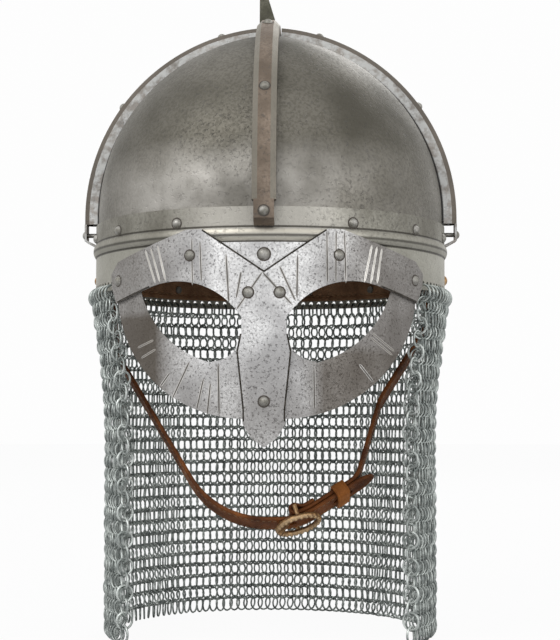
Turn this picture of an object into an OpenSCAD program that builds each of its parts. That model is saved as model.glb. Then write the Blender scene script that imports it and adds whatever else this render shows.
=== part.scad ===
// Spectacle helmet: ribbed steel skull, riveted face mask, mail curtain and buckled chin strap.
// The front faces -Y, +Z is up, and z = 0 is the lower rim of the brow band.

/* [Brow band] */
// Outer width of the brow band, ear to ear
helmet_w = 209; // [204:1:215]
// How much longer the brow band is than it is wide
helmet_extra_l = 26; // [22:0.4:30]
// Sheet thickness of the brow band
band_t = 1.5; // [1.2:0.1:1.8]
// Height of the brow band
band_h = 41; // [39:1:45]
// Height of the middle of the half-round bead
bead_z = 26; // [25:0.5:27]
// Height of the bead from its lower to its upper edge
bead_h = 8; // [6:0.5:8.5]
// How far the bead stands out
bead_out = 1.6; // [1.2:0.1:2]

/* [Skull] */
// Height of the crown above the rim
crown_h = 155; // [150:1:162]
// Height at which the upright walls start to curve in
dome_z = 48; // [47:1:52]
// Sheet thickness of the skull panels
panel_t = 1.2; // [1:0.1:1.5]
// Lower edge of the skull panels, behind the brow band
panel_z = 18; // [18:0.5:20]
// Open seam between two panels, under a rib
seam_w = 4.4; // [4:0.2:6]
// Width of the flat bands inside the seams
inner_band_w = 24; // [20:1:28]
// Sheet thickness of the flat bands inside the seams
inner_band_t = 1.2; // [1:0.1:1.5]

/* [Ribs and spike] */
// Width of a rib
rib_w = 13; // [11:0.5:15]
// Height of a rib above the skull
rib_h = 9; // [8:0.5:10]
// Size of the 45 degree chamfers along a rib
rib_chamfer = 3; // [2:0.5:3.5]
// Sheet thickness of a rib
rib_t = 1.2; // [1:0.1:1.4]
// Width of the bent strip at a rib's lower end
rib_strip_w = 11; // [9:0.5:12]
// Width of the spike at its foot
spike_w = 10; // [8:0.5:12]
// Height of the spike above the ribs
spike_h = 33; // [28:1:40]

/* [Mask] */
// Sheet thickness of the mask plates
mask_t = 1.6; // [1.4:0.1:1.8]
// Half the width of the nasal between the eyes
nasal_half = 12; // [11:0.5:13]
// Half the width of the nasal where it spreads below the eyes
nasal_flare = 14.7; // [14:0.1:15.5]
// Half the width of the nasal near its tip
nasal_end = 11.3; // [10:0.5:12]
// Depth of the nasal's tip below the rim
nasal_tip = 87.7; // [80:1:95]
// Height of the two brow peaks
peak_z = 29; // [28.5:0.5:30]
// Height of the bottom of the notch between the brows
notch_z = 5; // [3:0.5:7]
// Distance from the middle to the inner end of a brow peak
peak_x = 34; // [32:1:36]
// Radius of the arch above an eye
brow_r = 43; // [41:1:45]
// Radius of the cheek crescent's outer edge
cheek_r = 73.6; // [71:0.2:76]
// Radius of the cheek crescent's inner edge
cheek_in_r = 55.8; // [54.6:0.2:57]
// Radius of the eye opening's lower inner corner
eye_corner_r = 16; // [14:1:17]

/* [Rivets] */
// Diameter of a rivet head
rivet_head_d = 5.4; // [4.6:0.2:6]
// Height of a rivet head
rivet_head_h = 2; // [1.6:0.1:2.4]
// Diameter of a rivet shank
rivet_d = 2.6; // [2:0.2:3]

/* [Liner] */
// Thickness of the liner's leather
liner_t = 2.2; // [1.8:0.2:2.6]
// Height of the liner's headband
headband_h = 29; // [27:1:30]
// Radius of the lace ring at the crown of the liner
lace_ring_r = 30; // [26:1:34]
// Diameter of the lace
lace_d = 3.2; // [2.6:0.2:3.6]

/* [Mail] */
// Outer diameter of a mail ring
ring_d = 10.6; // [10:0.2:11]
// Wire diameter of a mail ring
ring_wire = 1.3; // [1.1:0.1:1.5]
// Height of the rim holes above the rim
rim_hole_z = 3.6; // [3.2:0.1:4]
// Spacing of the rim holes
ring_pitch = 5.4; // [5:0.1:6]
// Slack between two linked rings
ring_slack = 0.45; // [0.4:0.05:0.9]
// Number of rows down the front edge
edge_rings = 25; // [20:1:27]
// Thickness of the hanging curtain
mail_t = 2.4; // [1.8:0.2:3]
// How far the curtain draws in at its waist
mail_waist = 8; // [4:0.5:9]
// Diameter of a gap in the curtain
mail_gap_d = 11; // [9:0.5:12]

/* [Chin strap] */
// Width of the strap
strap_w = 16; // [14:1:18]
// Thickness of the strap's leather
strap_t = 2.2; // [2:0.1:2.6]
// Height of the strap's pivots above the rim
pivot_z = 10; // [9.5:0.1:10.5]
// Distance from the pivots down to the chin, along the strap's plane
strap_drop = 154.6; // [150:0.2:160]
// Forward lean of the strap's plane from upright
strap_lean = 24; // [15:1:30]
// Outer diameter of the buckle frame
buckle_d = 27; // [26:0.5:30]
// Thickness of the buckle frame
buckle_wire = 3; // [2.6:0.2:3.2]
// Diameter of the buckle's bar
bar_d = 2.4; // [2:0.1:2.6]

/* [Hidden] */
$fn = 48;

// Clearances: sheet on sheet, round a shank, round a pin that turns, between moving pieces
seat_gap = 0.1;
hole_gap = 0.15;
pin_gap = 0.08;
run_gap = 0.3;
far = 400;

// The oval in plan: two end arcs and two side arcs that meet on a common tangent. Their centres
// stand on a right triangle of sides 3, 4 and 5, which gives arcs that meet exactly.
half_w = helmet_w / 2;
oval_unit = helmet_extra_l / 4;
end_shift = 3 * oval_unit;
side_shift = 4 * oval_unit;
end_r = half_w - oval_unit;
side_r = end_r + 5 * oval_unit;
half_l = end_r + end_shift;
join_angle = atan2(3, 4);
end_len = end_r * (90 - join_angle) * PI / 180;
side_len = side_r * join_angle * PI / 180;
quarter_len = end_len + side_len;

// The meridian of the skull, measured inward from the brow band's outer face
panel_in = band_t + seat_gap;
dome_r = crown_h - dome_z;
inner_band_in = panel_t + seat_gap;
// The front of the skull curves more tightly than its sides, so the crest band is bent tighter too
crest_band_drop = 0.35;
crest_band_bend = 55;

// Ribs
rib_foot_z = band_h + 3;
rib_end_z = bead_z + bead_h / 2 + 0.4;
rib_bend_z = rib_end_z + 4.1;
rib_rivet_z = rib_bend_z + 3.2;
rib_top = rib_h - panel_in;
crest_rivet_angles = [31, 68];
cross_rivet_angles = [36, 73];
spike_foot_h = 2;
spike_tip = 0.8;
spike_tang_d = 4;
spike_peen_d = 7;
spike_peen_h = 2;

// Mask plates, measured outward from the brow band's outer face
crescent_out = seat_gap;
brow_out = max(bead_out, mask_t + seat_gap) + seat_gap;
peak_w = 8.2;
brow_end_x = 83;
brow_end_z = 14.5;
brow_corner_z = -8.4;
brow_arch = [48.4, 1.4 - brow_r];
cheek_in = [14.5, 11.4];
cheek_out = [10, 1];
crescent_top = 8;
eye_corner_z = -26;
brow_arch_end = 19.3;
nasal_flare_z = -37;
nasal_end_z = -68;
relief_x = 72;
relief_z = 7;
backing_top = bead_z - bead_h / 2 - 0.4;
backing_bottom = -11;
mask_temple_s = end_len + 2.5;
mask_temple_z = 4;
mask_brow_x = 38.8;
mask_upper_z = 15;
mask_nose_x = 8.1;
mask_nose_z = -5.5;
mask_tip_z = -63.4;

// Liner, measured inward from the brow band's outer face
headband_in = panel_in + inner_band_in + inner_band_t + 0.4;
headband_z = 5;
petal_z = headband_z + headband_h - 6;
petal_bend_z = petal_z + 6;
petal_r = 88;
petal_in = headband_in + liner_t + 0.2;
petal_count = 8;
petal_tip_half = 7;
petal_mid = [60, 20];
petal_foot = [200, 64];
hem_angle = 22;
lace_z = petal_bend_z + petal_r - 2.4;
liner_rivet_z = 11;

// Rivet rows of the band, as lengths along the rim from the middle of the front
upper_row_z = 33;
upper_row = [for (i = [1:6]) i * quarter_len / 3.5];
lower_row = [for (i = [0:2]) quarter_len + 50 + i * 50];

// Mail: hanger rings ride in the rim holes and the curtain hangs just under them
ring_r = (ring_d - ring_wire) / 2;
row_pitch = ring_d - 2 * ring_wire - ring_slack;
rim_hole_d = 2 * ring_wire;
sheet_mid = -band_t / 2;
hang_z = rim_hole_z - rim_hole_d / 2 + ring_wire / 2 + seat_gap - ring_r;
mail_top = hang_z - ring_d / 2 - run_gap;
edge_top = mail_top - ring_d / 2;
mail_bottom = edge_top - (edge_rings - 1) * row_pitch - ring_d / 2;
waist_drop = 80;
mail_front_angle = 29;
mail_start = end_len + (join_angle - mail_front_angle) * side_r * PI / 180;
hanger_last = floor((2 * quarter_len - mail_start) / ring_pitch);
hanger_step = (2 * quarter_len - mail_start) / (hanger_last + 0.5);
hanger_places = [for (i = [0:hanger_last]) mail_start + i * hanger_step];
flap_len = 102;
back_len = 72;
flap_mid = mail_start + flap_len / 2;
mail_rows = 10;
mail_cols = 6;
back_cols = 4;

// Chin strap: a path in the strap's own plane, x across and y up, from the chin to each pivot
strap_in = headband_in + liner_t + 1;
strap_x = half_w - strap_in - strap_t / 2;
strap_lap = strap_t + run_gap;
chin_r = 50;
chin_flat = 7;
buckle_r = 34;
jaw_r = 60;
knee_r = 14;
knee_heading = 74;
knee_run = 42;
hollow_r = 25;
jaw_heading = 59.5;
top_heading = 83.6;
buckle_heading = 34;
keeper_run = 26;
keeper_w = 8;
keeper_t = 1.8;
keeper_at = 19;
tail_len = 41;
tail_angle = 50;
fold_len = 12.5;
fold_close = 6.5;
fold_rivet_at = 9.7;
fold_rivet_d = 4.2;
fold_leather = 1.1;
bead_count = 24;
bead_size = 0.82;
bead_clear_angle = 10;

// Point and heading on the oval at length s from the front, going to +X, moved outward by out
function rim(s, out = 0) =
    s < 0 ? mirror_x(rim(-s, out)) :
    s > 2 * quarter_len ? mirror_x(rim(4 * quarter_len - s, out)) :
    s < end_len ? arc_point([0, -end_shift], end_r + out, s / end_r * 180 / PI - 90) :
    s < end_len + 2 * side_len ?
        arc_point([-side_shift, 0], side_r + out, (s - end_len) / side_r * 180 / PI - join_angle) :
        arc_point([0, end_shift], end_r + out, (s - end_len - 2 * side_len) / end_r * 180 / PI + join_angle);
function arc_point(c, r, a) = [c.x + r * cos(a), c.y + r * sin(a), a];
function mirror_x(p) = [-p.x, p.y, 180 - p.z];
// How far out the curtain's middle stands at height z: it draws in from its top down to its waist
function curtain_out(z) = sheet_mid - mail_waist * sin(90 * min(1, (mail_top - z) / waist_drop));
// Length along the rim at which the front end arc stands at this x
function rim_at_x(x) = end_r * asin(x / end_r) * PI / 180;

// Stands on the rim at length s with local +X outward
module at_rim(s, out = 0, z = 0) {
    p = rim(s, out);
    translate([p.x, p.y, z]) rotate([0, 0, p.z]) children();
}

module both_sides() {
    children();
    mirror([1, 0, 0]) children();
}

// The part of the plan where the side arcs run, between the planes in which the arcs meet
module side_zone() {
    x = far * cos(join_angle);
    y = end_shift + far * sin(join_angle);
    translate([0, 0, -far]) linear_extrude(2 * far)
        polygon([[-x, -y], [0, -end_shift], [x, -y], [x, y], [0, end_shift], [-x, y]]);
}

// Sweeps a profile round the oval. x = 0 is the brow band's outer face, and x grows outward.
// Each arc is a whole turn that is then cut at the planes in which the arcs meet.
module around() {
    for (turn = [0, 180]) rotate([0, 0, turn]) {
        difference() {
            translate([0, -end_shift, 0]) rotate_extrude() translate([end_r, 0]) children();
            side_zone();
            translate([-far, 0, -far]) cube([2 * far, far, 2 * far]);
        }
        intersection() {
            translate([-side_shift, 0, 0]) rotate([0, 0, 180]) rotate_extrude()
                translate([side_r, 0]) children();
            side_zone();
            translate([0, -far, -far]) cube([far, 2 * far, 2 * far]);
        }
    }
}

// One quarter of the skull's shape, x and y positive, from a meridian profile
module dome_quarter() {
    intersection() {
        union() {
            difference() {
                translate([0, end_shift, 0]) rotate([0, 0, 180]) rotate_extrude() intersection() {
                    translate([end_r, 0]) children();
                    translate([seam_w / 4, 0]) square([far, far]);
                }
                side_zone();
            }
            intersection() {
                translate([-side_shift, 0, 0]) rotate([0, 0, 180]) rotate_extrude() intersection() {
                    translate([side_r, 0]) children();
                    translate([side_shift * 0.5, 0]) square([far, far]);
                }
                side_zone();
            }
        }
        cube([far, far, far]);
    }
}

// Meridian of a sheet that lies depth under the panels' outer face
module meridian(depth, t, low, r = dome_r, start = dome_z, inset = panel_in) {
    translate([-inset - depth - t, low]) square([t, start - low]);
    intersection() {
        difference() {
            translate([-inset - r, start]) circle(r - depth, $fn = 96);
            translate([-inset - r, start]) circle(r - depth - t, $fn = 96);
        }
        translate([-inset - r, start]) square([r, r]);
    }
}

// Sweeps a cross section from a height low over half the skull along +X, lifted off its panels.
// reach is half the band's outer size.
module over_skull(reach, low, lift) {
    arc_x = reach - panel_in - dome_r;
    translate([arc_x, 0, dome_z]) rotate([90, 0, 0]) rotate_extrude(angle = 90)
        translate([dome_r + lift, 0]) children();
    translate([reach - panel_in + lift, 0, low]) linear_extrude(dome_z - low) children();
    if (arc_x > 0) translate([0, 0, dome_z + dome_r + lift]) rotate([90, 0, 90])
        linear_extrude(arc_x) rotate([0, 0, 90]) children();
}

module quadrant(sx, sy) {
    mirror([sx < 0 ? 1 : 0, 0, 0]) mirror([0, sy < 0 ? 1 : 0, 0]) children();
}

// A domed rivet along +X: its head stands at x = 0 and its tail is spread at x = -grip
module rivet(grip, head_d = rivet_head_d) {
    rotate([0, 90, 0]) rotate_extrude() {
        translate([0, -grip - 0.8]) square([rivet_d / 2, grip + 0.9]);
        translate([0, -grip - 1]) square([rivet_d * 0.85, 1 - seat_gap]);
        intersection() {
            translate([0, rivet_head_h - head_round(head_d)]) circle(head_round(head_d));
            translate([0, seat_gap / 2]) square([head_d, rivet_head_h]);
        }
    }
}
function head_round(d) = (d * d / 4 + rivet_head_h * rivet_head_h) / (2 * rivet_head_h);

module shank_hole(grip = 30) {
    rotate([0, 90, 0]) cylinder(d = rivet_d + 2 * hole_gap, h = grip, center = true);
}

// Places a child on the outer face of a rib's arc. reach is half the band across or along.
module on_rib(reach, angle) {
    translate([reach - panel_in - dome_r, 0, dome_z])
        rotate([0, -angle, 0]) translate([dome_r + rib_h + seat_gap, 0, 0]) children();
}

// All rivet places, each outward along +X from the outer face of what the rivet holds
module upper_rivet_places() {
    for (s = upper_row) both_sides() at_rim(s, 0, upper_row_z) children();
}
module lower_rivet_places() {
    for (s = lower_row) both_sides() at_rim(s, 0, liner_rivet_z) children();
}
module pivot_places() {
    both_sides() translate([half_w, 0, pivot_z]) children();
}
module rib_rivet_places(reach, angles) {
    for (a = angles) on_rib(reach, a) children();
    translate([reach + rib_top, 0, rib_rivet_z]) children();
}
module crest_rivet_places() {
    for (turn = [90, -90]) rotate([0, 0, turn]) rib_rivet_places(half_l, crest_rivet_angles) children();
}
module cross_rivet_places() {
    both_sides() rib_rivet_places(half_w, cross_rivet_angles) children();
}
module brow_rivet_places() {
    both_sides() at_rim(rim_at_x(mask_brow_x), brow_out + mask_t, mask_upper_z) children();
}
module temple_rivet_places() {
    both_sides() at_rim(mask_temple_s, brow_out + mask_t, mask_temple_z) children();
}
module nose_rivet_places() {
    both_sides() at_rim(rim_at_x(mask_nose_x), brow_out + mask_t, mask_nose_z) children();
}
module tip_rivet_place() {
    at_rim(0, brow_out + mask_t, mask_tip_z) children();
}
module notch_rivet_place() {
    at_rim(0, crescent_out + mask_t, mask_upper_z) children();
}
module skull_holes() {
    upper_rivet_places() shank_hole();
    crest_rivet_places() shank_hole(60);
    cross_rivet_places() shank_hole(60);
}

// Brow band

module band_profile() {
    bead_r = (bead_h * bead_h / 4 + bead_out * bead_out) / (2 * bead_out);
    difference() {
        union() {
            translate([-band_t, 0]) square([band_t, band_h]);
            intersection() {
                translate([bead_out - bead_r, bead_z]) circle(bead_r);
                translate([-band_t / 2, bead_z - bead_h]) square([far, 2 * bead_h]);
            }
        }
        translate([bead_out - bead_r, bead_z]) circle(bead_r - band_t);
    }
}

module brow_band() {
    color("#8f8a82") difference() {
        around() band_profile();
        translate([-relief_x, -far, -1]) cube([2 * relief_x, far - half_l / 2, relief_z + 1]);
        for (s = hanger_places) both_sides() at_rim(s, sheet_mid, rim_hole_z)
            rotate([0, 90, 0]) cylinder(d = rim_hole_d, h = 4 * band_t, center = true);
        skull_holes();
        lower_rivet_places() shank_hole();
        pivot_places() shank_hole();
        brow_rivet_places() shank_hole();
        temple_rivet_places() shank_hole();
        notch_rivet_place() shank_hole();
    }
}

module brow_band_rivets() {
    color("#a39d94") upper_rivet_places() rivet(panel_in + panel_t + seat_gap);
}

// Skull

module skull_panel(sx, sy) {
    color("#7d7870") difference() {
        quadrant(sx, sy) intersection() {
            dome_quarter() meridian(0, panel_t, panel_z);
            translate([seam_w / 2, seam_w / 2, 0]) cube([far, far, far]);
        }
        upper_rivet_places() shank_hole();
    }
}
module skull_panel_front_left() { skull_panel(-1, -1); }
module skull_panel_front_right() { skull_panel(1, -1); }
module skull_panel_rear_left() { skull_panel(-1, 1); }
module skull_panel_rear_right() { skull_panel(1, 1); }

// Cross section of a flat band, bent to the skull. x = 0 is the skull panels' outer face.
module inner_band_section(drop = 0, bend_r = end_r - panel_in - inner_band_in) {
    face_x = -inner_band_in - drop;
    intersection() {
        translate([face_x - bend_r, 0]) difference() {
            circle(bend_r, $fn = 96);
            circle(bend_r - inner_band_t, $fn = 96);
        }
        translate([-far, -inner_band_w / 2]) square([far, inner_band_w]);
        translate([face_x - bend_r / 2, -far / 2]) square([far, far]);
    }
}

module inner_crest_band() {
    color("#6a665f") difference() {
        for (turn = [90, -90]) rotate([0, 0, turn]) intersection() {
            over_skull(half_l, headband_z + headband_h + run_gap, 0)
                inner_band_section(crest_band_drop, crest_band_bend);
            translate([0, -far / 2, 0]) cube([far, far, far]);
        }
        crest_rivet_places() shank_hole(60);
    }
}

module inner_cross_band() {
    color("#6a665f") difference() {
        both_sides() intersection() {
            over_skull(half_w, panel_z + 1, 0) inner_band_section();
            translate([inner_band_w / 2 + run_gap, -far / 2, 0]) cube([far, far, far]);
        }
        cross_rivet_places() shank_hole(60);
    }
}

// Ribs and spike

module rib_section(extra = 0) {
    w = rib_w / 2;
    f = rib_h - rib_chamfer;
    k = rib_t * 0.414;
    difference() {
        polygon([[0, -w], [f, -w], [rib_h, rib_chamfer - w], [rib_h, w - rib_chamfer], [f, w], [0, w]]);
        polygon([[-1, rib_t - w], [f - k, rib_t - w], [rib_h - rib_t, rib_chamfer - w + k],
            [rib_h - rib_t, w - rib_chamfer - k], [f - k, w - rib_t], [-1, w - rib_t]]);
    }
}

module rib_half(reach) {
    foot = reach - panel_in + seat_gap;
    over_skull(reach, rib_foot_z, seat_gap) rib_section();
    rib_strip(foot + rib_h - rib_t, reach + seat_gap);
}

// The rib's top strip runs on below its flanks and bends in to lie on the band
module rib_strip(top_x, seat_x) {
    slope = top_x - seat_x;
    translate([0, rib_strip_w / 2, 0]) rotate([90, 0, 0]) linear_extrude(rib_strip_w)
        polygon([[top_x, rib_foot_z + 0.01], [top_x + rib_t, rib_foot_z + 0.01],
            [top_x + rib_t, rib_bend_z - rib_t / 2], [seat_x + rib_t, rib_end_z],
            [seat_x, rib_end_z], [seat_x, rib_end_z + rib_t * 0.8], [top_x, rib_bend_z]]);
}

module crest_rib() {
    color("#857a6e") difference() {
        for (turn = [90, -90]) rotate([0, 0, turn]) intersection() {
            rib_half(half_l);
            translate([0, -far / 2, 0]) cube([far, far, far]);
        }
        crest_rivet_places() shank_hole();
        translate([0, 0, crown_h]) cylinder(d = spike_tang_d + 2 * hole_gap, h = 2 * rib_h);
    }
}

module cross_rib() {
    color("#857a6e") difference() {
        intersection() {
            rib_half(half_w);
            translate([rib_w / 2 + run_gap, -far / 2, 0]) cube([far, far, far]);
        }
        cross_rivet_places() shank_hole();
    }
}
module cross_rib_right() { cross_rib(); }
module cross_rib_left() { mirror([1, 0, 0]) cross_rib(); }

rib_grip = rib_h + inner_band_in + inner_band_t + 2 * seat_gap;
rib_end_grip = rib_top + inner_band_in + inner_band_t + panel_in + 2 * seat_gap;

module rib_rivets(reach, angles, drop = 0) {
    for (a = angles) on_rib(reach, a) rivet(rib_grip + drop);
    translate([reach + rib_top + seat_gap, 0, rib_rivet_z]) rivet(rib_end_grip + drop);
}
module crest_rib_rivets() {
    color("#a39d94") for (turn = [90, -90]) rotate([0, 0, turn])
        rib_rivets(half_l, crest_rivet_angles, crest_band_drop);
}
module cross_rib_rivets() {
    color("#a39d94") both_sides() rib_rivets(half_w, cross_rivet_angles);
}

// Two opposite sides of the spike, by the middles of its foot and of its tip
module spike_sides(foot_mid, tip_mid) {
    foot = crown_h + rib_h + 2 * seat_gap;
    w = spike_w / 2;
    t = spike_tip / 2;
    rotate([90, 0, 0]) linear_extrude(4 * spike_w, center = true)
        polygon([[foot_mid - w, foot], [foot_mid + w, foot], [foot_mid + w, foot + spike_foot_h],
            [tip_mid + t, foot + spike_h], [tip_mid - t, foot + spike_h],
            [foot_mid - w, foot + spike_foot_h]]);
}

module crown_spike() {
    under = crown_h + rib_h - rib_t;
    color("#6e6860") union() {
        intersection() {
            // One side stands upright over the rib's edge, and the opposite side leans towards it
            spike_sides((spike_w - rib_w) / 2, (spike_tip - rib_w) / 2);
            rotate([0, 0, 90]) spike_sides(0, 0);
        }
        translate([0, 0, under - spike_peen_h]) cylinder(d = spike_tang_d, h = rib_t + 2 * spike_peen_h + 1);
        translate([0, 0, under - spike_peen_h]) cylinder(d = spike_peen_d, h = spike_peen_h - seat_gap);
    }
}

// Mask

module eye_round() {
    corner = [nasal_half + eye_corner_r, eye_corner_z];
    intersection() {
        translate(cheek_in) circle(cheek_in_r, $fn = 96);
        union() {
            translate([-far / 2, corner.y]) square([far, far]);
            translate([corner.x, -far / 2]) square([far, far]);
            translate(corner) circle(eye_corner_r);
        }
    }
}

module eye_opening() {
    intersection() {
        eye_round();
        translate(brow_arch) circle(brow_r, $fn = 96);
        translate([nasal_half, -far / 2]) square([far, far]);
    }
}

module brow_outline() {
    arch_x = brow_arch.x + brow_r * sin(brow_arch_end);
    arch_z = brow_arch.y + brow_r * cos(brow_arch_end);
    difference() {
        polygon([[0, notch_z], [peak_x, peak_z], [peak_x + peak_w, peak_z], [brow_end_x, brow_end_z],
            [brow_end_x + 4.5, 8], [brow_end_x + 4, 1], [brow_end_x + 1, brow_corner_z],
            [arch_x, arch_z], [nasal_flare, nasal_flare_z], [nasal_end, nasal_end_z],
            [nasal_end, -nasal_tip + 12.5],
            [nasal_end * 0.62, -nasal_tip + 5], [0, -nasal_tip]]);
        eye_opening();
    }
}

module crescent_outline() {
    difference() {
        intersection() {
            translate(cheek_out) circle(cheek_r, $fn = 96);
            translate([0, -far]) square([far, far + crescent_top]);
        }
        eye_round();
    }
}

module backing_outline() {
    spread = (backing_top - notch_z) * peak_x / (peak_z - notch_z) + 4;
    polygon([[0, backing_top], [spread, backing_top], [nasal_half + 2, backing_bottom],
        [0, backing_bottom]]);
}

// Cuts a plate, seen from the front, out of a sheet that follows the oval
module mask_plate(out) {
    intersection() {
        around() translate([out, -far / 2]) square([mask_t, far]);
        both_sides() translate([0, -half_l / 8, 0]) rotate([90, 0, 0]) linear_extrude(half_l) children();
    }
}

module brow_nasal_plate() {
    color("#a9a6a1") difference() {
        mask_plate(brow_out) brow_outline();
        brow_rivet_places() shank_hole();
        temple_rivet_places() shank_hole();
        nose_rivet_places() shank_hole();
        tip_rivet_place() shank_hole();
    }
}

module cheek_crescent() {
    color("#9c9892") difference() {
        mask_plate(crescent_out) crescent_outline();
        temple_rivet_places() shank_hole();
        tip_rivet_place() shank_hole();
    }
}

module nasal_backing_plate() {
    color("#a9a6a1") difference() {
        mask_plate(crescent_out) backing_outline();
        nose_rivet_places() shank_hole();
        notch_rivet_place() shank_hole();
    }
}

module mask_rivets() {
    through_brow = brow_out + mask_t + band_t + seat_gap;
    through_plates = brow_out + mask_t - crescent_out + seat_gap;
    color("#b5b1aa") {
        brow_rivet_places() rivet(through_brow);
        temple_rivet_places() rivet(through_brow);
        nose_rivet_places() rivet(through_plates);
        tip_rivet_place() rivet(through_plates);
        notch_rivet_place() rivet(crescent_out + mask_t + band_t + seat_gap, rivet_head_d + 1);
    }
}

// Liner

module headband_profile() {
    translate([-headband_in - liner_t, headband_z]) square([liner_t, headband_h]);
}

module liner_headband() {
    color("#6b3f22") difference() {
        around() headband_profile();
        lower_rivet_places() shank_hole();
        pivot_places() shank_hole();
        mask_tail_room();
    }
}

// Room behind the band for the tails of the mask's rivets
module mask_tail_room() {
    for (x = [0, mask_brow_x, -mask_brow_x])
        at_rim(rim_at_x(x), 0, mask_upper_z)
            rotate([0, 90, 0]) cylinder(d = 2 * rivet_d, h = 30, center = true);
    both_sides() at_rim(mask_temple_s, 0, mask_temple_z)
        rotate([0, 90, 0]) cylinder(d = 2 * rivet_d, h = 30, center = true);
}

// Stands at each petal of the rear half, whose middles have a positive y
module petal_places() {
    for (i = [0:petal_count / 2 - 1]) rotate([0, 0, (i + 0.5) * 360 / petal_count]) children();
}

module petal_plan() {
    petal_places()
        polygon([[lace_ring_r, -petal_tip_half], [petal_mid.x, -petal_mid.y], [petal_foot.x, -petal_foot.y],
            petal_foot, petal_mid, [lace_ring_r, petal_tip_half]]);
}

module lace_path(d) {
    rotate_extrude() translate([lace_ring_r, lace_z]) circle(d = d, $fn = 16);
}

module liner_petals_rear() {
    color("#734427") difference() {
        union() {
            intersection() {
                for (sx = [-1, 1])
                    quadrant(sx, 1) dome_quarter()
                        meridian(0, liner_t, petal_z, petal_r, petal_bend_z, petal_in);
                linear_extrude(far) petal_plan();
            }
            petal_places() rotate([0, 0, -hem_angle / 2])
                rotate_extrude(angle = hem_angle) translate([lace_ring_r, lace_z])
                    circle(d = lace_d + 2 * hole_gap + 2 * liner_t, $fn = 16);
        }
        lace_path(lace_d + 2 * hole_gap);
    }
}
module liner_petals_front() { mirror([0, 1, 0]) liner_petals_rear(); }

module liner_lace() {
    color("#3d2616") lace_path(lace_d);
}

module liner_rivets() {
    color("#a39d94") lower_rivet_places() rivet(headband_in + liner_t + seat_gap);
}

// Mail

module ring() {
    rotate_extrude($fn = 32) translate([ring_r, 0]) circle(d = ring_wire, $fn = 16);
}

module mail_hanger_rings() {
    color("#8b9095") for (s = hanger_places)
        both_sides() at_rim(s, sheet_mid, hang_z) rotate([90, 0, 0]) ring();
}

module curtain_profile() {
    steps = 5;
    heights = concat([for (i = [0:steps]) mail_top - i * waist_drop / steps], [mail_bottom]);
    polygon(concat(
        [for (z = heights) [curtain_out(z) + mail_t / 2, z]],
        [for (i = [steps + 1:-1:0]) [curtain_out(heights[i]) - mail_t / 2, heights[i]]]));
}

// Gaps between two lengths along the rim, every second row set half a step on
module curtain_gaps(from, to, cols) {
    step_s = (to - from) / cols;
    step_z = (mail_top - mail_bottom) / mail_rows;
    for (row = [0:mail_rows - 1], col = [0:cols - 1])
        at_rim(from + (col + (row % 2 == 0 ? 0.3 : 0.7)) * step_s, 0, mail_top - (row + 0.5) * step_z)
            rotate([0, 90, 0]) rotate([0, 0, 22.5]) cylinder(d = mail_gap_d, h = 30, center = true, $fn = 8);
}

// Keeps what lies between two planes square to the rim's tangent at length mid
module between_planes(mid, back, ahead) {
    at_rim(mid, 0, 0) translate([-half_w / 2, back, -far]) cube([half_w, ahead - back, far]);
}

// The sheet starts clear of its column of edge rings
flap_front = ring_d / 2 + run_gap;
flap_rear = flap_len / 2;
seam_gap = 0.6;
// The gaps stand square to the oval and the seams do not, so they part towards the waist
seam_drift = mail_waist * sin(flap_rear / side_r * 180 / PI);
gap_margin = 2.4;

module mail_flap() {
    color("#80868c") difference() {
        intersection() {
            around() curtain_profile();
            between_planes(mail_start, flap_front, flap_len + ring_d);
            between_planes(flap_mid, -flap_len, flap_rear);
        }
        curtain_gaps(mail_start + flap_front + gap_margin, mail_start + flap_len - gap_margin, mail_cols);
    }
}
module mail_right() { mail_flap(); }
module mail_left() { mirror([1, 0, 0]) mail_flap(); }

module mail_back() {
    color("#80868c") difference() {
        intersection() {
            around() curtain_profile();
            between_planes(2 * quarter_len, -back_len / 2, back_len / 2);
        }
        curtain_gaps(2 * quarter_len - back_len / 2, 2 * quarter_len + back_len / 2, back_cols);
    }
}

module mail_corner() {
    color("#80868c") difference() {
        intersection() {
            around() curtain_profile();
            at_rim(flap_mid, 0, 0) translate([-far, flap_rear + seam_gap, -far]) cube([2 * far, far, far]);
            translate([back_len / 2 + seam_gap, 0, -far]) cube([far, far, far]);
        }
        curtain_gaps(mail_start + flap_len + seam_drift + gap_margin,
            2 * quarter_len - back_len / 2 - seam_drift - gap_margin, mail_cols);
    }
}
module mail_corner_right() { mail_corner(); }
module mail_corner_left() { mirror([1, 0, 0]) mail_corner(); }

// Rings down the front edge, turned a quarter turn from one to the next
module edge_ring_column() {
    color("#9aa0a5") for (i = [0:edge_rings - 1]) let (z = edge_top - i * row_pitch)
        at_rim(mail_start, curtain_out(z), z)
            if (i % 2 == 0) rotate([0, 90, 0]) ring();
            else rotate([90, 0, 0]) ring();
}
module mail_edge_rings_right() { edge_ring_column(); }
module mail_edge_rings_left() { mirror([1, 0, 0]) edge_ring_column(); }

// Chin strap. A path is a list of [x, y, heading], built from arcs and straight runs.

// A negative radius turns to the right.
function arc_run(p, r, heading) = let (n = max(2, ceil(abs(heading - p.z) / 4)))
    [for (i = [1:n]) let (h = p.z + (heading - p.z) * i / n)
        [p.x + r * (sin(h) - sin(p.z)), p.y + r * (cos(p.z) - cos(h)), h]];
function straight_run(p, l) = [[p.x + l * cos(p.z), p.y + l * sin(p.z), p.z]];
function last(v) = v[len(v) - 1];
function then_arc(path, r, heading) = concat(path, arc_run(last(path), r, heading));
function then_straight(path, l) = concat(path, straight_run(last(path), l));
function swap_side(path) = [for (i = [len(path) - 1:-1:0]) [-path[i].x, path[i].y, -path[i].z]];

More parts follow.
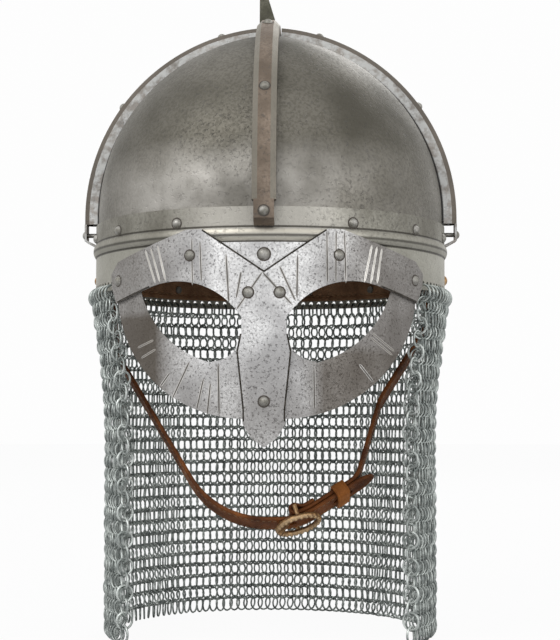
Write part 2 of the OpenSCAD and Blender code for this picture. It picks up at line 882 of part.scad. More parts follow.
// From the end of a chin part up to a pivot: a straight jaw, a bend and a straight cheek.
// The two straight lengths are the ones that end the path at the pivot.
function up_to_pivot(path) = let (
    a = last(path),
    bend = last(arc_run([0, 0, jaw_heading], jaw_r, top_heading)),
    dx = strap_x - a.x - bend.x,
    dy = -a.y - bend.y,
    det = sin(top_heading - jaw_heading),
    jaw = (dx * sin(top_heading) - dy * cos(top_heading)) / det,
    cheek = (dy * cos(jaw_heading) - dx * sin(jaw_heading)) / det)
    then_straight(then_arc(then_straight(path, jaw), jaw_r, top_heading), cheek);

chin_start = [0, -strap_drop, 0];
left_half = up_to_pivot(then_arc([chin_start], chin_r, jaw_heading));
buckle_start = then_straight([chin_start], chin_flat);
long_right = then_straight(then_arc(buckle_start, buckle_r, buckle_heading), tail_len);
long_path = concat(swap_side(left_half), [for (i = [1:len(long_right) - 1]) long_right[i]]);
buckle_mid = last(then_arc(buckle_start, buckle_r, buckle_heading / 2));
short_bend = then_arc([side_step(buckle_mid, strap_lap)], buckle_r - strap_lap, buckle_heading);
short_knee = then_arc(then_straight(short_bend, keeper_run), knee_r, knee_heading);
short_path = up_to_pivot(then_arc(then_straight(short_knee, knee_run), -hollow_r, jaw_heading));

// Buckle, in the frame of its middle on the long strap: its bar lies in the short strap's fold
mean_r = (buckle_d - buckle_wire) / 2;
rim_side = strap_w / 2 + buckle_wire / 2;
rim_reach = sqrt(mean_r * mean_r - rim_side * rim_side);
rim_sag = buckle_r - sqrt(buckle_r * buckle_r - rim_reach * rim_reach);
ring_out = (buckle_wire + strap_t) / 2 + run_gap - rim_sag;
bar_off = (strap_t + bar_d) / 2 + pin_gap;
bar_in = strap_lap + bar_off;
fold_r = bar_off + strap_t / 2;
prong_w = 3;
prong_t = 1.8;
prong_over = 2;
// The prong runs from the bar past the rim, which it touches with its flat underside
prong_off = (buckle_wire + prong_t) / 2 + seat_gap;
prong_reach = norm([mean_r, bar_in + ring_out]);
prong_angle = atan2(bar_in + ring_out, mean_r) + asin(prong_off / prong_reach);
prong_len = sqrt(prong_reach * prong_reach - prong_off * prong_off) + prong_over;
prong_wall = 1.2;
prong_slot_w = prong_w + 0.8;
slot_len = 9;
slot_x = -(bar_in - strap_t / 4) / tan(prong_angle);

// A point on the short strap, s along it from the buckle's bar, and how far the fold lies off it
function bend_point(s) = let (
    p = short_bend[0],
    r = buckle_r - strap_lap,
    h = min(buckle_heading, p.z + s / r * 180 / PI),
    on = [p.x + r * (sin(h) - sin(p.z)), p.y + r * (cos(p.z) - cos(h)), h])
    straight_run(on, s - (h - p.z) * r * PI / 180)[0];
fold_flat = strap_t + seat_gap / 2;
function fold_lift(s) = s > fold_close ? fold_flat :
    fold_flat + (2 * bar_off - fold_flat) * (1 + cos(180 * s / fold_close)) / 2;

// A point moved to the left of its heading, which is the side of the neck
function side_step(p, d) = [p.x - d * sin(p.z), p.y + d * cos(p.z), p.z];

module ribbon(path, t = strap_t) {
    edge = [for (p = path) side_step(p, t / 2)];
    back = [for (i = [len(path) - 1:-1:0]) side_step(path[i], -t / 2)];
    polygon([for (p = concat(edge, back)) [p.x, p.y]]);
}

// The strap's plane, leaning forward from the line of its pivots
module strap_plane() {
    translate([0, 0, pivot_z]) rotate([90 - strap_lean, 0, 0]) children();
}

// Local frame on a path: x along the strap, y towards the neck, z across the strap
module on_path(p) {
    translate([p.x, p.y, 0]) rotate([0, 0, p.z]) children();
}

module strap_body(path) {
    linear_extrude(strap_w, center = true) ribbon(path);
}

// The round upper end of a strap, on its pivot
module strap_end(side) {
    translate([side * strap_x, 0, 0]) rotate([0, 90, 0])
        cylinder(d = strap_w, h = strap_t, center = true);
}

module pivot_hole(side) {
    translate([side * strap_x, 0, 0]) rotate([0, 90, 0])
        cylinder(d = rivet_d + 2 * pin_gap, h = 4 * strap_t, center = true);
}

module slot(l, w) {
    cube([l - w, w, 4 * strap_t], center = true);
    for (s = [-1, 1]) translate([s * (l - w) / 2, 0, 0])
        cylinder(d = w, h = 4 * strap_t, center = true, $fn = 24);
}

module chin_strap_long() {
    tail = last(long_path);
    color("#7a3b1d") strap_plane() difference() {
        union() {
            strap_body(long_path);
            strap_end(-1);
        }
        pivot_hole(-1);
        // Pointed tail
        for (s = [-1, 1]) on_path(tail) rotate([0, s * tail_angle, 0]) translate([0, -strap_w, -strap_w])
            cube([strap_w, 2 * strap_w, 2 * strap_w]);
        // Slot for the prong, then the spare holes of the tail
        on_path(buckle_mid) translate([slot_x, 0, 0]) rotate([90, 0, 0]) slot(slot_len, prong_w + 1);
        for (i = [1, 2]) on_path(tail) translate([-8 - 9 * i, 0, 0]) rotate([90, 0, 0])
            cylinder(d = prong_w + 0.4, h = 4 * strap_t, center = true, $fn = 24);
    }
}

// The short strap's end comes back along its inner face and goes round the buckle's bar
fold_steps = 14;
bar_steps = 12;
fold_path = concat(
    [for (i = [fold_steps:-1:0])
        let (l = fold_len * i / fold_steps, p = side_step(bend_point(l), fold_lift(l)))
            [p.x, p.y, p.z + 180]],
    [for (i = [1:bar_steps - 1])
        let (h = buckle_mid.z + 180 + 180 * i / bar_steps, c = side_step(buckle_mid, bar_in))
        [c.x + bar_off * sin(h), c.y - bar_off * cos(h), h]]);

module chin_strap_short() {
    color("#7a3b1d") strap_plane() difference() {
        union() {
            strap_body(concat(fold_path, short_path));
            strap_end(1);
        }
        // Slot in the fold for the prong's eye
        on_path(buckle_mid) translate([-fold_r - 1, bar_in - fold_r - 1, -prong_slot_w / 2])
            cube([2 * fold_r + 1, 2 * fold_r + 2, prong_slot_w]);
        fold_rivet_place() {
            shank_hole(30);
            // Sunk seat for the rivet's tail
            translate([-fold_grip, 0, 0]) rotate([0, -90, 0])
                cylinder(r = rivet_d * 0.85 + hole_gap, h = 10);
        }
        pivot_hole(1);
    }
}

// The fold's rivet stands on the neck side, outward along +X
module fold_rivet_place() {
    p = bend_point(fold_rivet_at);
    on_path(side_step(p, fold_flat + strap_t / 2)) rotate([0, 0, 90]) children();
}
fold_grip = fold_flat + fold_leather;

module strap_fold_rivet() {
    color("#b08a45") strap_plane() fold_rivet_place() rivet(fold_grip, fold_rivet_d);
}

module buckle_frame() {
    color("#a07c3c") strap_plane() on_path(buckle_mid) {
        translate([0, -ring_out, 0]) rotate([90, 0, 0]) {
            rotate_extrude($fn = 64) translate([mean_r, 0]) circle(d = buckle_wire, $fn = 24);
            // No bead stands where the prong lies on the rim
            for (i = [0:bead_count - 1]) let (turn = (i + 0.5) * 360 / bead_count)
                if (abs(turn - 180) > bead_clear_angle) rotate([0, 0, turn])
                    translate([mean_r, 0, buckle_wire * 0.28]) sphere(d = buckle_wire * bead_size, $fn = 24);
        }
        // The bar, dropped behind the straps on two posts
        translate([0, bar_in, 0]) cylinder(d = bar_d, h = 2 * mean_r, center = true);
        for (s = [-1, 1]) translate([0, bar_in, s * mean_r]) {
            sphere(d = bar_d);
            rotate([90, 0, 0]) cylinder(d = bar_d, h = bar_in + ring_out);
        }
    }
}
module buckle_prong() {
    color("#b08a45") strap_plane() on_path(buckle_mid) translate([0, bar_in, 0])
        rotate([0, 0, prong_angle]) difference() {
            union() {
                cylinder(r = bar_d / 2 + pin_gap + prong_wall, h = prong_w, center = true);
                translate([-prong_len, -prong_t / 2, -prong_w / 2 + 0.3])
                    cube([prong_len, prong_t, prong_w - 0.6]);
            }
            cylinder(d = bar_d + 2 * pin_gap, h = 2 * prong_w, center = true);
        }
}

// Keeper: a leather loop round both straps
module strap_keeper() {
    inner_h = strap_t + strap_lap + 2 * run_gap;
    inner_w = strap_w + 2 * run_gap;
    color("#8a4a22") strap_plane() on_path(straight_run(last(short_bend), keeper_at)[0])
        translate([0, -strap_lap / 2, 0]) difference() {
            cube([keeper_w, inner_h + 2 * keeper_t, inner_w + 2 * keeper_t], center = true);
            cube([2 * keeper_w, inner_h, inner_w], center = true);
        }
}

module strap_pivot_rivets() {
    color("#b08a45") pivot_places() rivet(strap_in + strap_t + 0.3 + seat_gap, rivet_head_d + 1);
}

brow_band();
brow_band_rivets();
skull_panel_front_left();
skull_panel_front_right();
skull_panel_rear_left();
skull_panel_rear_right();
inner_crest_band();
inner_cross_band();
crest_rib();
cross_rib_left();
cross_rib_right();
crest_rib_rivets();
cross_rib_rivets();
crown_spike();
brow_nasal_plate();
cheek_crescent();
nasal_backing_plate();
mask_rivets();
liner_headband();
liner_petals_front();
liner_petals_rear();
liner_lace();
liner_rivets();
mail_hanger_rings();
mail_left();
mail_right();
mail_back();
mail_corner_left();
mail_corner_right();
mail_edge_rings_left();
mail_edge_rings_right();
strap_pivot_rivets();
chin_strap_long();
chin_strap_short();
strap_fold_rivet();
buckle_frame();
buckle_prong();
strap_keeper();
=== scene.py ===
# %% [markdown]
# # A steel spectacle helmet with a mail curtain
# The solids of this helmet come packed as a fixed frame. This lesson dresses them: aged steel
# for the plates, thousands of linked rings for the mail, stitched leather for the straps and
# the liner, and antique brass for the buckle. Every number is in metres or in millimetres
# times MM, in the same frame as the solids: -Y is the front, +Z is up.

from math import asin, atan2, ceil, cos, degrees, hypot, pi, radians, sin, sqrt

import bmesh
import bpy
import numpy as np
from mathutils import Matrix, Vector


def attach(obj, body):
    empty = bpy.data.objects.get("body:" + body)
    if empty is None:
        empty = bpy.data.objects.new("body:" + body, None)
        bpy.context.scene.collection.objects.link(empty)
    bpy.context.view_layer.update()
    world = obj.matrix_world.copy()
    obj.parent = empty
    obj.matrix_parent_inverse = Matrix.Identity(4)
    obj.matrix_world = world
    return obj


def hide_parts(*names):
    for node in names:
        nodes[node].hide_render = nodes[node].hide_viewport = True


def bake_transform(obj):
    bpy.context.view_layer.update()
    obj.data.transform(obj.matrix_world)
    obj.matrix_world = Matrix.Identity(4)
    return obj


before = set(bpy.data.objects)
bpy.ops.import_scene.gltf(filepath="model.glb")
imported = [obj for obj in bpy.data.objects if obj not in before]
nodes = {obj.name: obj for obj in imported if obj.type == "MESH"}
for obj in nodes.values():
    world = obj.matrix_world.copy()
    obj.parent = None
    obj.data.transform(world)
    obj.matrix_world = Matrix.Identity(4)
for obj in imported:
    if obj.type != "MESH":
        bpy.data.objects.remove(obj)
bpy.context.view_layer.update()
scene = bpy.context.scene
MM = 0.001

# %% [markdown]
# ## Camera
# The photograph was taken from a little over a metre away, slightly below the brow and
# tilted up. The place and the focal length were solved from points that mirror each other on
# the mask, so the render can be laid over the picture.

# %% Camera
CAMERA_TURN = radians(1.36)
CAMERA_TILT = radians(3.20)
FOCAL_PIXELS = 1661
PICTURE_HEIGHT = 640
around_z = Matrix.Rotation(CAMERA_TURN, 3, "Z")
lens = bpy.data.cameras.new("camera")
lens.sensor_width = 36
lens.lens = 36 * FOCAL_PIXELS / PICTURE_HEIGHT
camera = bpy.data.objects.new("camera", lens)
camera.location = around_z @ Vector((5.7, -1000, -69.4)) * MM
gaze = around_z @ Vector((0, cos(CAMERA_TILT), sin(CAMERA_TILT)))
camera.rotation_euler = gaze.to_track_quat("-Z", "Y").to_euler()
scene.collection.objects.link(camera)
scene.camera = camera
print("camera at", [round(c, 3) for c in camera.location], "lens", round(lens.lens, 1))

# %% [markdown]
# ## The oval of the brow band
# Seen from above, the band is an oval of four arcs: two end arcs and two flatter side arcs.
# The mail, the graved lines and the liner all follow it, so one function gives the point and
# the outward direction at any length along the rim, and another says how far inside the
# band a point lies.

# %% The oval
HALF_W, END_SHIFT, SIDE_SHIFT = 104.5, 19.5, 26.0
END_R, SIDE_R, HALF_L = 98.0, 130.5, 117.5
JOIN = atan2(END_SHIFT, SIDE_SHIFT)
END_LEN = END_R * (pi / 2 - JOIN)
QUARTER = END_LEN + SIDE_R * JOIN
DOME_R, DOME_Z, PANEL_IN = 107, 48, 1.6


def rim(length, out=0.0):
    """Point and outward angle on the oval, that far from the front towards +X, in mm."""
    if length < 0:
        x, y, a = rim(-length, out)
        return -x, y, pi - a
    if length > 2 * QUARTER:
        x, y, a = rim(4 * QUARTER - length, out)
        return -x, y, pi - a
    if length < END_LEN:
        a, centre, r = length / END_R - pi / 2, (0, -END_SHIFT), END_R
    elif length < 2 * QUARTER - END_LEN:
        a, centre, r = (length - END_LEN) / SIDE_R - JOIN, (-SIDE_SHIFT, 0), SIDE_R
    else:
        a = (length - 2 * QUARTER + END_LEN) / END_R + JOIN
        centre, r = (0, END_SHIFT), END_R
    return centre[0] + (r + out) * cos(a), centre[1] + (r + out) * sin(a), a


def front_y(x, out):
    """y of the oval's front wall at this x, moved outward by out, in mm."""
    x = abs(x)
    if x <= (END_R + out) * cos(JOIN):
        return -END_SHIFT - sqrt((END_R + out) ** 2 - x * x)
    return -sqrt((SIDE_R + out) ** 2 - (x + SIDE_SHIFT) ** 2)


def depth_inside(x, y):
    """How far inside the band's outer face a point lies, in mm. Takes arrays."""
    x, y = np.abs(x), np.abs(y)
    side = np.arctan2(y, x + SIDE_SHIFT) < JOIN
    return np.where(
        side, SIDE_R - np.hypot(x + SIDE_SHIFT, y), END_R - np.hypot(x, y - END_SHIFT)
    )


print("rim length, all round: %.0f mm" % (4 * QUARTER))

# %% [markdown]
# ## Making meshes
# Most pieces here are rows of the same small shape, or a section carried along a path. Both
# are quickest as plain lists of points and faces. One helper turns lists into an object with
# smooth shading, one sweeps a closed section, and one copies a shape to many places.

# %% Mesh helpers
def make_object(name, points, faces, material=None, smooth=True):
    """A mesh object from points in metres."""
    mesh = bpy.data.meshes.new(name)
    mesh.from_pydata([tuple(p) for p in points], [], [tuple(f) for f in faces])
    mesh.validate()
    if smooth:
        mesh.polygons.foreach_set("use_smooth", [True] * len(mesh.polygons))
    mesh.update()
    obj = bpy.data.objects.new(name, mesh)
    scene.collection.objects.link(obj)
    if material:
        mesh.materials.append(material)
    return obj


def tidy_mesh(obj):
    """Outward normals on a closed mesh."""
    mesh = bmesh.new()
    mesh.from_mesh(obj.data)
    bmesh.ops.recalc_face_normals(mesh, faces=mesh.faces)
    mesh.to_mesh(obj.data)
    mesh.free()


def sweep_faces(rows, around, closed=False):
    """Quads between rows of points, each row one closed section. An open sweep gets end caps."""
    faces = []
    last = rows if closed else rows - 1
    for i in range(last):
        for j in range(around):
            a, b = i * around + j, i * around + (j + 1) % around
            c, d = ((i + 1) % rows) * around + (j + 1) % around, ((i + 1) % rows) * around + j
            faces.append((a, b, c, d))
    if not closed:
        faces.append(tuple(range(around - 1, -1, -1)))
        faces.append(tuple((rows - 1) * around + j for j in range(around)))
    return faces


def torus_parts(radius, wire, turns, sides):
    """Points and faces of a ring round +Z."""
    u = np.arange(turns) * 2 * np.pi / turns
    v = np.arange(sides) * 2 * np.pi / sides
    r = radius + wire / 2 * np.cos(v)[None, :]
    points = np.stack(
        [r * np.cos(u)[:, None], r * np.sin(u)[:, None],
         np.broadcast_to(wire / 2 * np.sin(v)[None, :], (turns, sides))], axis=-1
    ).reshape(-1, 3)
    return points, sweep_faces(turns, sides, closed=True)


def copies(name, points, faces, places, material):
    """One object that holds a copy of the shape at each place, a 4x4 matrix in mm."""
    n = len(points)
    whole = np.concatenate([points @ m[:3, :3].T + m[:3, 3] for m in places]) * MM
    face_list = (np.array(faces)[None] + n * np.arange(len(places))[:, None, None]).reshape(-1, 4)
    return make_object(name, whole, face_list.tolist(), material)


def place(x_axis, y_axis, z_axis, origin):
    """A 4x4 matrix from three directions and a point."""
    m = np.eye(4)
    m[:3, 0], m[:3, 1], m[:3, 2], m[:3, 3] = x_axis, y_axis, z_axis, origin
    return m


# %% [markdown]
# ## Shader groups
# Old steel is never one grey: soft clouds of darker and lighter metal, a fine grain, and
# small pits. Leather has a pebbled grain, and long streaks where it was pulled. Each effect
# is built once as a node group, and every material sets its own colours and scales on it.

# %% Group helpers
def new_group(name, inputs):
    """A shader node group with those inputs, and a colour, a roughness and a height as outputs."""
    group = bpy.data.node_groups.new(name, "ShaderNodeTree")
    for label, value in inputs.items():
        kind = "NodeSocketColor" if isinstance(value, tuple) else "NodeSocketFloat"
        socket = group.interface.new_socket(label, in_out="INPUT", socket_type=kind)
        socket.default_value = (*value, 1) if isinstance(value, tuple) else value
    for kind, label in (("Color", "Color"), ("Float", "Roughness"), ("Float", "Height")):
        group.interface.new_socket(label, in_out="OUTPUT", socket_type="NodeSocket" + kind)
    return group, group.nodes.new("NodeGroupInput"), group.nodes.new("NodeGroupOutput")


def feed(tree, socket, value):
    """Sets a socket to a number or a colour, or links another socket to it."""
    if isinstance(value, (int, float)):
        socket.default_value = value
    elif isinstance(value, tuple):
        socket.default_value = (*value, 1)
    else:
        tree.links.new(value, socket)


def noise(tree, coords, scale, detail=3.0, rough=0.55, stretch=None):
    """Noise texture on the object's own coordinates. stretch scales x, y and z."""
    node = tree.nodes.new("ShaderNodeTexNoise")
    node.inputs["Detail"].default_value = detail
    node.inputs["Roughness"].default_value = rough
    if stretch:
        mapping = tree.nodes.new("ShaderNodeMapping")
        mapping.inputs["Scale"].default_value = stretch
        tree.links.new(coords, mapping.inputs["Vector"])
        coords = mapping.outputs["Vector"]
    tree.links.new(coords, node.inputs["Vector"])
    feed(tree, node.inputs["Scale"], scale)
    return node.outputs["Fac"]


def remap(tree, value, low, high, to_low=0.0, to_high=1.0):
    """Clamped map range."""
    node = tree.nodes.new("ShaderNodeMapRange")
    for socket, number in zip(node.inputs[:5], (value, low, high, to_low, to_high)):
        feed(tree, socket, number)
    return node.outputs["Result"]


def maths(tree, operation, a, b=None):
    """Math node on sockets or plain numbers."""
    node = tree.nodes.new("ShaderNodeMath")
    node.operation = operation
    for socket, value in zip(node.inputs, (a, b)):
        if value is not None:
            feed(tree, socket, value)
    return node.outputs[0]


def times(tree, a, b):
    """Product of two sockets or plain numbers."""
    return maths(tree, "MULTIPLY", a, b)


def coordinates(tree, kind="Object"):
    """Texture coordinates: "Object" in metres, "Normal" for the surface's own direction, or "UV"."""
    return tree.nodes.new("ShaderNodeTexCoord").outputs[kind]


def split_axes(tree, kind="Object"):
    """x, y and z of those coordinates."""
    split = tree.nodes.new("ShaderNodeSeparateXYZ")
    tree.links.new(coordinates(tree, kind), split.inputs[0])
    return split.outputs


def blend_colour(tree, factor, a, b):
    """Mix of two colours, each a socket or a tuple."""
    node = tree.nodes.new("ShaderNodeMix")
    node.data_type = "RGBA"
    for socket, value in ((0, factor), (6, a), (7, b)):
        feed(tree, node.inputs[socket], value)
    return node.outputs[2]


# %% Aged steel group
steel_group, g_in, g_out = new_group(
    "Aged steel", {"Light": (0.5, 0.5, 0.5), "Dark": (0.2, 0.2, 0.2), "Cloud scale": 18.0,
                   "Grain scale": 700.0, "Grain amount": 0.3, "Pits": 0.3})
t = steel_group
coords = coordinates(t)
clouds = remap(t, noise(t, coords, g_in.outputs["Cloud scale"], 2.5, 0.5), 0.38, 0.64)
grain = noise(t, coords, g_in.outputs["Grain scale"], 4.0, 0.6)
speckle = noise(t, coords, times(t, g_in.outputs["Grain scale"], 0.9), 3.0, 0.65)
pits = remap(t, speckle, 0.57, 0.67)
cloudy = blend_colour(t, clouds, g_in.outputs["Dark"], g_in.outputs["Light"])
grainy = blend_colour(t, times(t, remap(t, grain, 0.54, 0.43), g_in.outputs["Grain amount"]),
                      cloudy, g_in.outputs["Dark"])
pitted = blend_colour(t, times(t, pits, g_in.outputs["Pits"]), grainy, (0.09, 0.085, 0.08))
t.links.new(pitted, g_out.inputs["Color"])
rough = maths(t, "ADD", remap(t, clouds, 0, 1, 0.58, 0.46), remap(t, grain, 0.3, 0.7, 0.08, -0.04))
t.links.new(rough, g_out.inputs["Roughness"])
height = maths(t, "SUBTRACT", times(t, grain, 0.5), times(t, pits, 0.6))
t.links.new(height, g_out.inputs["Height"])
print("group", steel_group.name, len(steel_group.nodes), "nodes")

# %% Leather grain group
leather_group, g_in, g_out = new_group(
    "Leather grain", {"Light": (0.3, 0.15, 0.08), "Dark": (0.1, 0.05, 0.03), "Grain scale": 900.0})
t = leather_group
coords = coordinates(t)
cells = t.nodes.new("ShaderNodeTexVoronoi")
cells.feature = "DISTANCE_TO_EDGE"
t.links.new(coords, cells.inputs["Vector"])
t.links.new(g_in.outputs["Grain scale"], cells.inputs["Scale"])
creases = remap(t, cells.outputs["Distance"], 0.0, 0.18)
patches = remap(t, noise(t, coords, 60.0, 3.0, 0.6), 0.36, 0.66)
streaks = remap(t, noise(t, coords, 240.0, 3.0, 0.6, (1, 1, 0.25)), 0.4, 0.7)
base = blend_colour(t, patches, g_in.outputs["Dark"], g_in.outputs["Light"])
streaked = blend_colour(t, times(t, streaks, 0.35), base, g_in.outputs["Dark"])
in_crease = times(t, maths(t, "SUBTRACT", 1.0, creases), 0.45)
worn = blend_colour(t, in_crease, streaked, g_in.outputs["Dark"])
t.links.new(worn, g_out.inputs["Color"])
t.links.new(remap(t, patches, 0, 1, 0.62, 0.44), g_out.inputs["Roughness"])
t.links.new(creases, g_out.inputs["Height"])
print("group", leather_group.name, len(leather_group.nodes), "nodes")

# %% [markdown]
# ## Steel finishes
# The mask is the brightest steel, wire-brushed so that its hammered, speckled surface
# shows. The skull is duller and browner. A finish is one Principled shader fed by the steel
# group, with a bump for the grain, and pieces add their own masks by place: the band is lighter
# in front, and painted light and shade lie on the band's bead and on the ribs' chamfers and flanks.

# %% Steel finish
def new_material(name):
    """An empty Principled material. Returns (material, tree, shader)."""
    material = bpy.data.materials.new(name)
    material.use_nodes = True
    return material, material.node_tree, material.node_tree.nodes["Principled BSDF"]


def finish_material(name, group, values, bump, metallic, specular=0.5, bump_distance=0.0004):
    """A Principled material fed by a group. Returns (material, tree, shader)."""
    material, tree, shader = new_material(name)
    shader.inputs["Metallic"].default_value = metallic
    shader.inputs["Specular IOR Level"].default_value = specular
    look = tree.nodes.new("ShaderNodeGroup")
    look.node_tree = group
    for label, value in values.items():
        feed(tree, look.inputs[label], value)
    tree.links.new(look.outputs["Color"], shader.inputs["Base Color"])
    tree.links.new(look.outputs["Roughness"], shader.inputs["Roughness"])
    relief = tree.nodes.new("ShaderNodeBump")
    relief.inputs["Strength"].default_value = bump
    relief.inputs["Distance"].default_value = bump_distance
    tree.links.new(look.outputs["Height"], relief.inputs["Height"])
    tree.links.new(relief.outputs["Normal"], shader.inputs["Normal"])
    return material, tree, shader


def steel(name, light, dark, cloud=18.0, grain=700.0, amount=0.3, pits=0.3, bump=0.5, metallic=0.85):
    """A metal finish: the values of the steel group, then the bump and how metallic it is."""
    return finish_material(
        name, steel_group,
        {"Light": light, "Dark": dark, "Cloud scale": cloud, "Grain scale": grain,
         "Grain amount": amount, "Pits": pits}, bump, metallic)


def recolour(tree, shader, factor, colour):
    """Lays a colour over what feeds the shader, by a mask."""
    old = shader.inputs["Base Color"].links[0].from_socket
    tree.links.new(blend_colour(tree, factor, old, colour), shader.inputs["Base Color"])


# %% The steels
mask_steel, tree, shader = steel(
    "mask_steel", (0.97, 0.97, 0.965), (0.52, 0.515, 0.515), 34, 860, 0.60, 0.62, 1.0)
x, y, z = split_axes(tree)
# The mask turns darker and browner away from its middle, towards its bottom, and most of all low on either
# side
outer_brown = remap(tree, maths(tree, "ABSOLUTE", maths(tree, "SUBTRACT", x, -0.004)), 0.022, 0.066, 0.0, 0.72)
low_brown = remap(tree, z, -0.030, -0.070, 0.0, 0.42)
right_brown = times(tree, remap(tree, x, 0.014, 0.032), remap(tree, z, -0.014, -0.038, 0.0, 0.86))
left_brown = times(tree, remap(tree, x, -0.044, -0.060), remap(tree, z, 0.0, -0.018, 0.0, 0.93))
brown = maths(tree, "MAXIMUM", maths(tree, "MAXIMUM", outer_brown, low_brown),
              maths(tree, "MAXIMUM", right_brown, left_brown))
recolour(tree, shader, brown, (0.10, 0.082, 0.062))
inner_steel, *_ = steel("inner_steel", (0.30, 0.28, 0.26), (0.15, 0.14, 0.13), 22, 500, 0.3, 0.3)
rivet_steel, *_ = steel("rivet_steel", (0.46, 0.45, 0.42), (0.24, 0.23, 0.20), 260, 1500, 0.3, 0.2, 0.3)
spike_steel, *_ = steel("spike_steel", (0.16, 0.155, 0.12), (0.07, 0.068, 0.05), 60, 700, 0.4, 0.3)

skull_steel, tree, shader = steel(
    "skull_steel", (0.19, 0.178, 0.15), (0.10, 0.093, 0.074), 17, 560, 0.45, 0.4, 0.7)
x, y, z = split_axes(tree)
coords = coordinates(tree)
# Patches low on the skull's front are lighter, most of all on the -X side
patches = remap(tree, noise(tree, coords, 26, 3.0, 0.55), 0.40, 0.60, 0.30, 1.0)
low = times(tree, patches, remap(tree, z, 0.082, 0.058, 0.0, 0.95))
low = times(tree, low, remap(tree, x, 0.06, -0.02, 0.35, 1.0))
low = times(tree, low, remap(tree, maths(tree, "ABSOLUTE", x), 0.082, 0.058, 0.3, 1.0))
recolour(tree, shader, low, (0.50, 0.48, 0.445))

band_steel, tree, shader = steel(
    "band_steel", (0.35, 0.34, 0.295), (0.19, 0.18, 0.15), 24, 560, 0.45, 0.4, 0.7)
x, y, z = split_axes(tree)
front = remap(tree, maths(tree, "ABSOLUTE", x), 0.055, 0.030)
front = times(tree, front, remap(tree, y, -0.05, -0.08))
recolour(tree, shader, times(tree, front, 0.75), (0.52, 0.50, 0.455))
# Painted light low on the band, below the bead, where the band lies in the bead's shade
recolour(tree, shader, remap(tree, z, 0.030, 0.022, 0.0, 0.55), (0.50, 0.49, 0.43))


def stripe(tree, z, middle, half):
    """Mask of a level stripe."""
    return remap(tree, maths(tree, "ABSOLUTE", maths(tree, "SUBTRACT", z, middle)), half, half * 0.4)


# Painted light and shade on the bead, in level stripes: painted shade at its top edge, below its crest and
# just under it, and painted highlights on its upper flank and its lower edge; the highlights are strongest at
# the front
BEAD_SHADE, BEAD_HIGHLIGHT = (0.045, 0.040, 0.032), (0.66, 0.62, 0.53)
for middle, half, strength, colour in ((0.0276, 0.0015, 0.7, BEAD_HIGHLIGHT), (0.0236, 0.0009, 0.6, BEAD_HIGHLIGHT),
                                       (0.0302, 0.0008, 0.85, BEAD_SHADE), (0.0254, 0.0009, 0.7, BEAD_SHADE),
                                       (0.0219, 0.0008, 0.85, BEAD_SHADE)):
    mask = times(tree, stripe(tree, z, middle, half), strength)
    if colour is BEAD_HIGHLIGHT:
        mask = times(tree, mask, remap(tree, front, 0, 1, 0.12, 1.0))
    recolour(tree, shader, mask, colour)


def rib_finish(name, across, reach, chamfer_shading, flank_shading):
    """Steel of a rib, with its own tone on the top, painted light and shade on the chamfers and the flanks,
    and a painted shadow in the gap at the dome.

    across is the axis its width lies on, and reach its distance from the middle to the rim. The
    gap's painted shadow is found by its distance from the middle of the dome's arc.
    """
    material, tree, shader = steel(name, (0.30, 0.24, 0.19), (0.17, 0.135, 0.105), 40, 600, 0.5, 0.5)
    # Painted light and shade: the chamfers and the flanks get their own tone by the way they face, with
    # patches on the flanks
    side = maths(tree, "ABSOLUTE", split_axes(tree, "Normal")[across])
    chamfer = times(tree, remap(tree, side, 0.35, 0.6), remap(tree, side, 0.95, 0.8))
    recolour(tree, shader, times(tree, chamfer, 0.8), chamfer_shading)
    flank = remap(tree, side, 0.9, 0.98)
    patches = remap(tree, noise(tree, coordinates(tree), 160, 3.0, 0.6),
                    0.40, 0.56, 0.35, 0.85)
    recolour(tree, shader, times(tree, flank, patches), flank_shading)
    axes = split_axes(tree)
    # Painted shadow: the lowest millimetre and a half of the flanks, where they meet the dome, is nearly
    # black
    arc_start = (reach - PANEL_IN - DOME_R) * MM
    out = maths(tree, "SUBTRACT", maths(tree, "ABSOLUTE", axes[1 - across]), arc_start)
    out = maths(tree, "MAXIMUM", out, 0.0)
    up = maths(tree, "MAXIMUM", maths(tree, "SUBTRACT", axes[2], DOME_Z * MM), 0.0)
    radius = maths(tree, "SQRT", maths(tree, "ADD", times(tree, out, out), times(tree, up, up)))
    gap = remap(tree, radius, (DOME_R + 1.5) * MM, (DOME_R + 0.8) * MM)
    recolour(tree, shader, times(tree, gap, 0.93), (0.012, 0.011, 0.010))
    return material


crest_steel = rib_finish("crest_steel", 0, HALF_L, (0.27, 0.255, 0.215), (0.20, 0.185, 0.155))
cross_steel = rib_finish("cross_steel", 1, HALF_W, (0.15, 0.135, 0.115), (0.62, 0.63, 0.62))
print("steels:", [m.name for m in bpy.data.materials])

# %% Steel on the plates
def dress(material, *names):
    """Gives a material to solids of the frame."""
    for name in names:
        obj = nodes[name]
        obj.data.materials.clear()
        obj.data.materials.append(material)


dress(band_steel, "brow_band")
dress(skull_steel, "skull_panel_front_left", "skull_panel_front_right", "skull_panel_rear_left",
      "skull_panel_rear_right")
dress(inner_steel, "inner_crest_band", "inner_cross_band")
dress(crest_steel, "crest_rib")
dress(cross_steel, "cross_rib_left", "cross_rib_right")
dress(spike_steel, "crown_spike")
dress(mask_steel, "brow_nasal_plate", "cheek_crescent", "nasal_backing_plate")
dress(rivet_steel, "brow_band_rivets", "crest_rib_rivets", "cross_rib_rivets", "mask_rivets", "liner_rivets")
print("plates dressed")

# %% [markdown]
# ## Graved lines of the mask
# The mask is decorated with a few straight lines, cut by hand with a graver. A cut line is a
# tiny dark valley between two bright lips. The plates come as finished solids, so each line is
# a hair-thin strip of its own that follows the plate, pointed at both ends as a graver leaves
# it. Its material paints the valley and the lips across the strip's width.

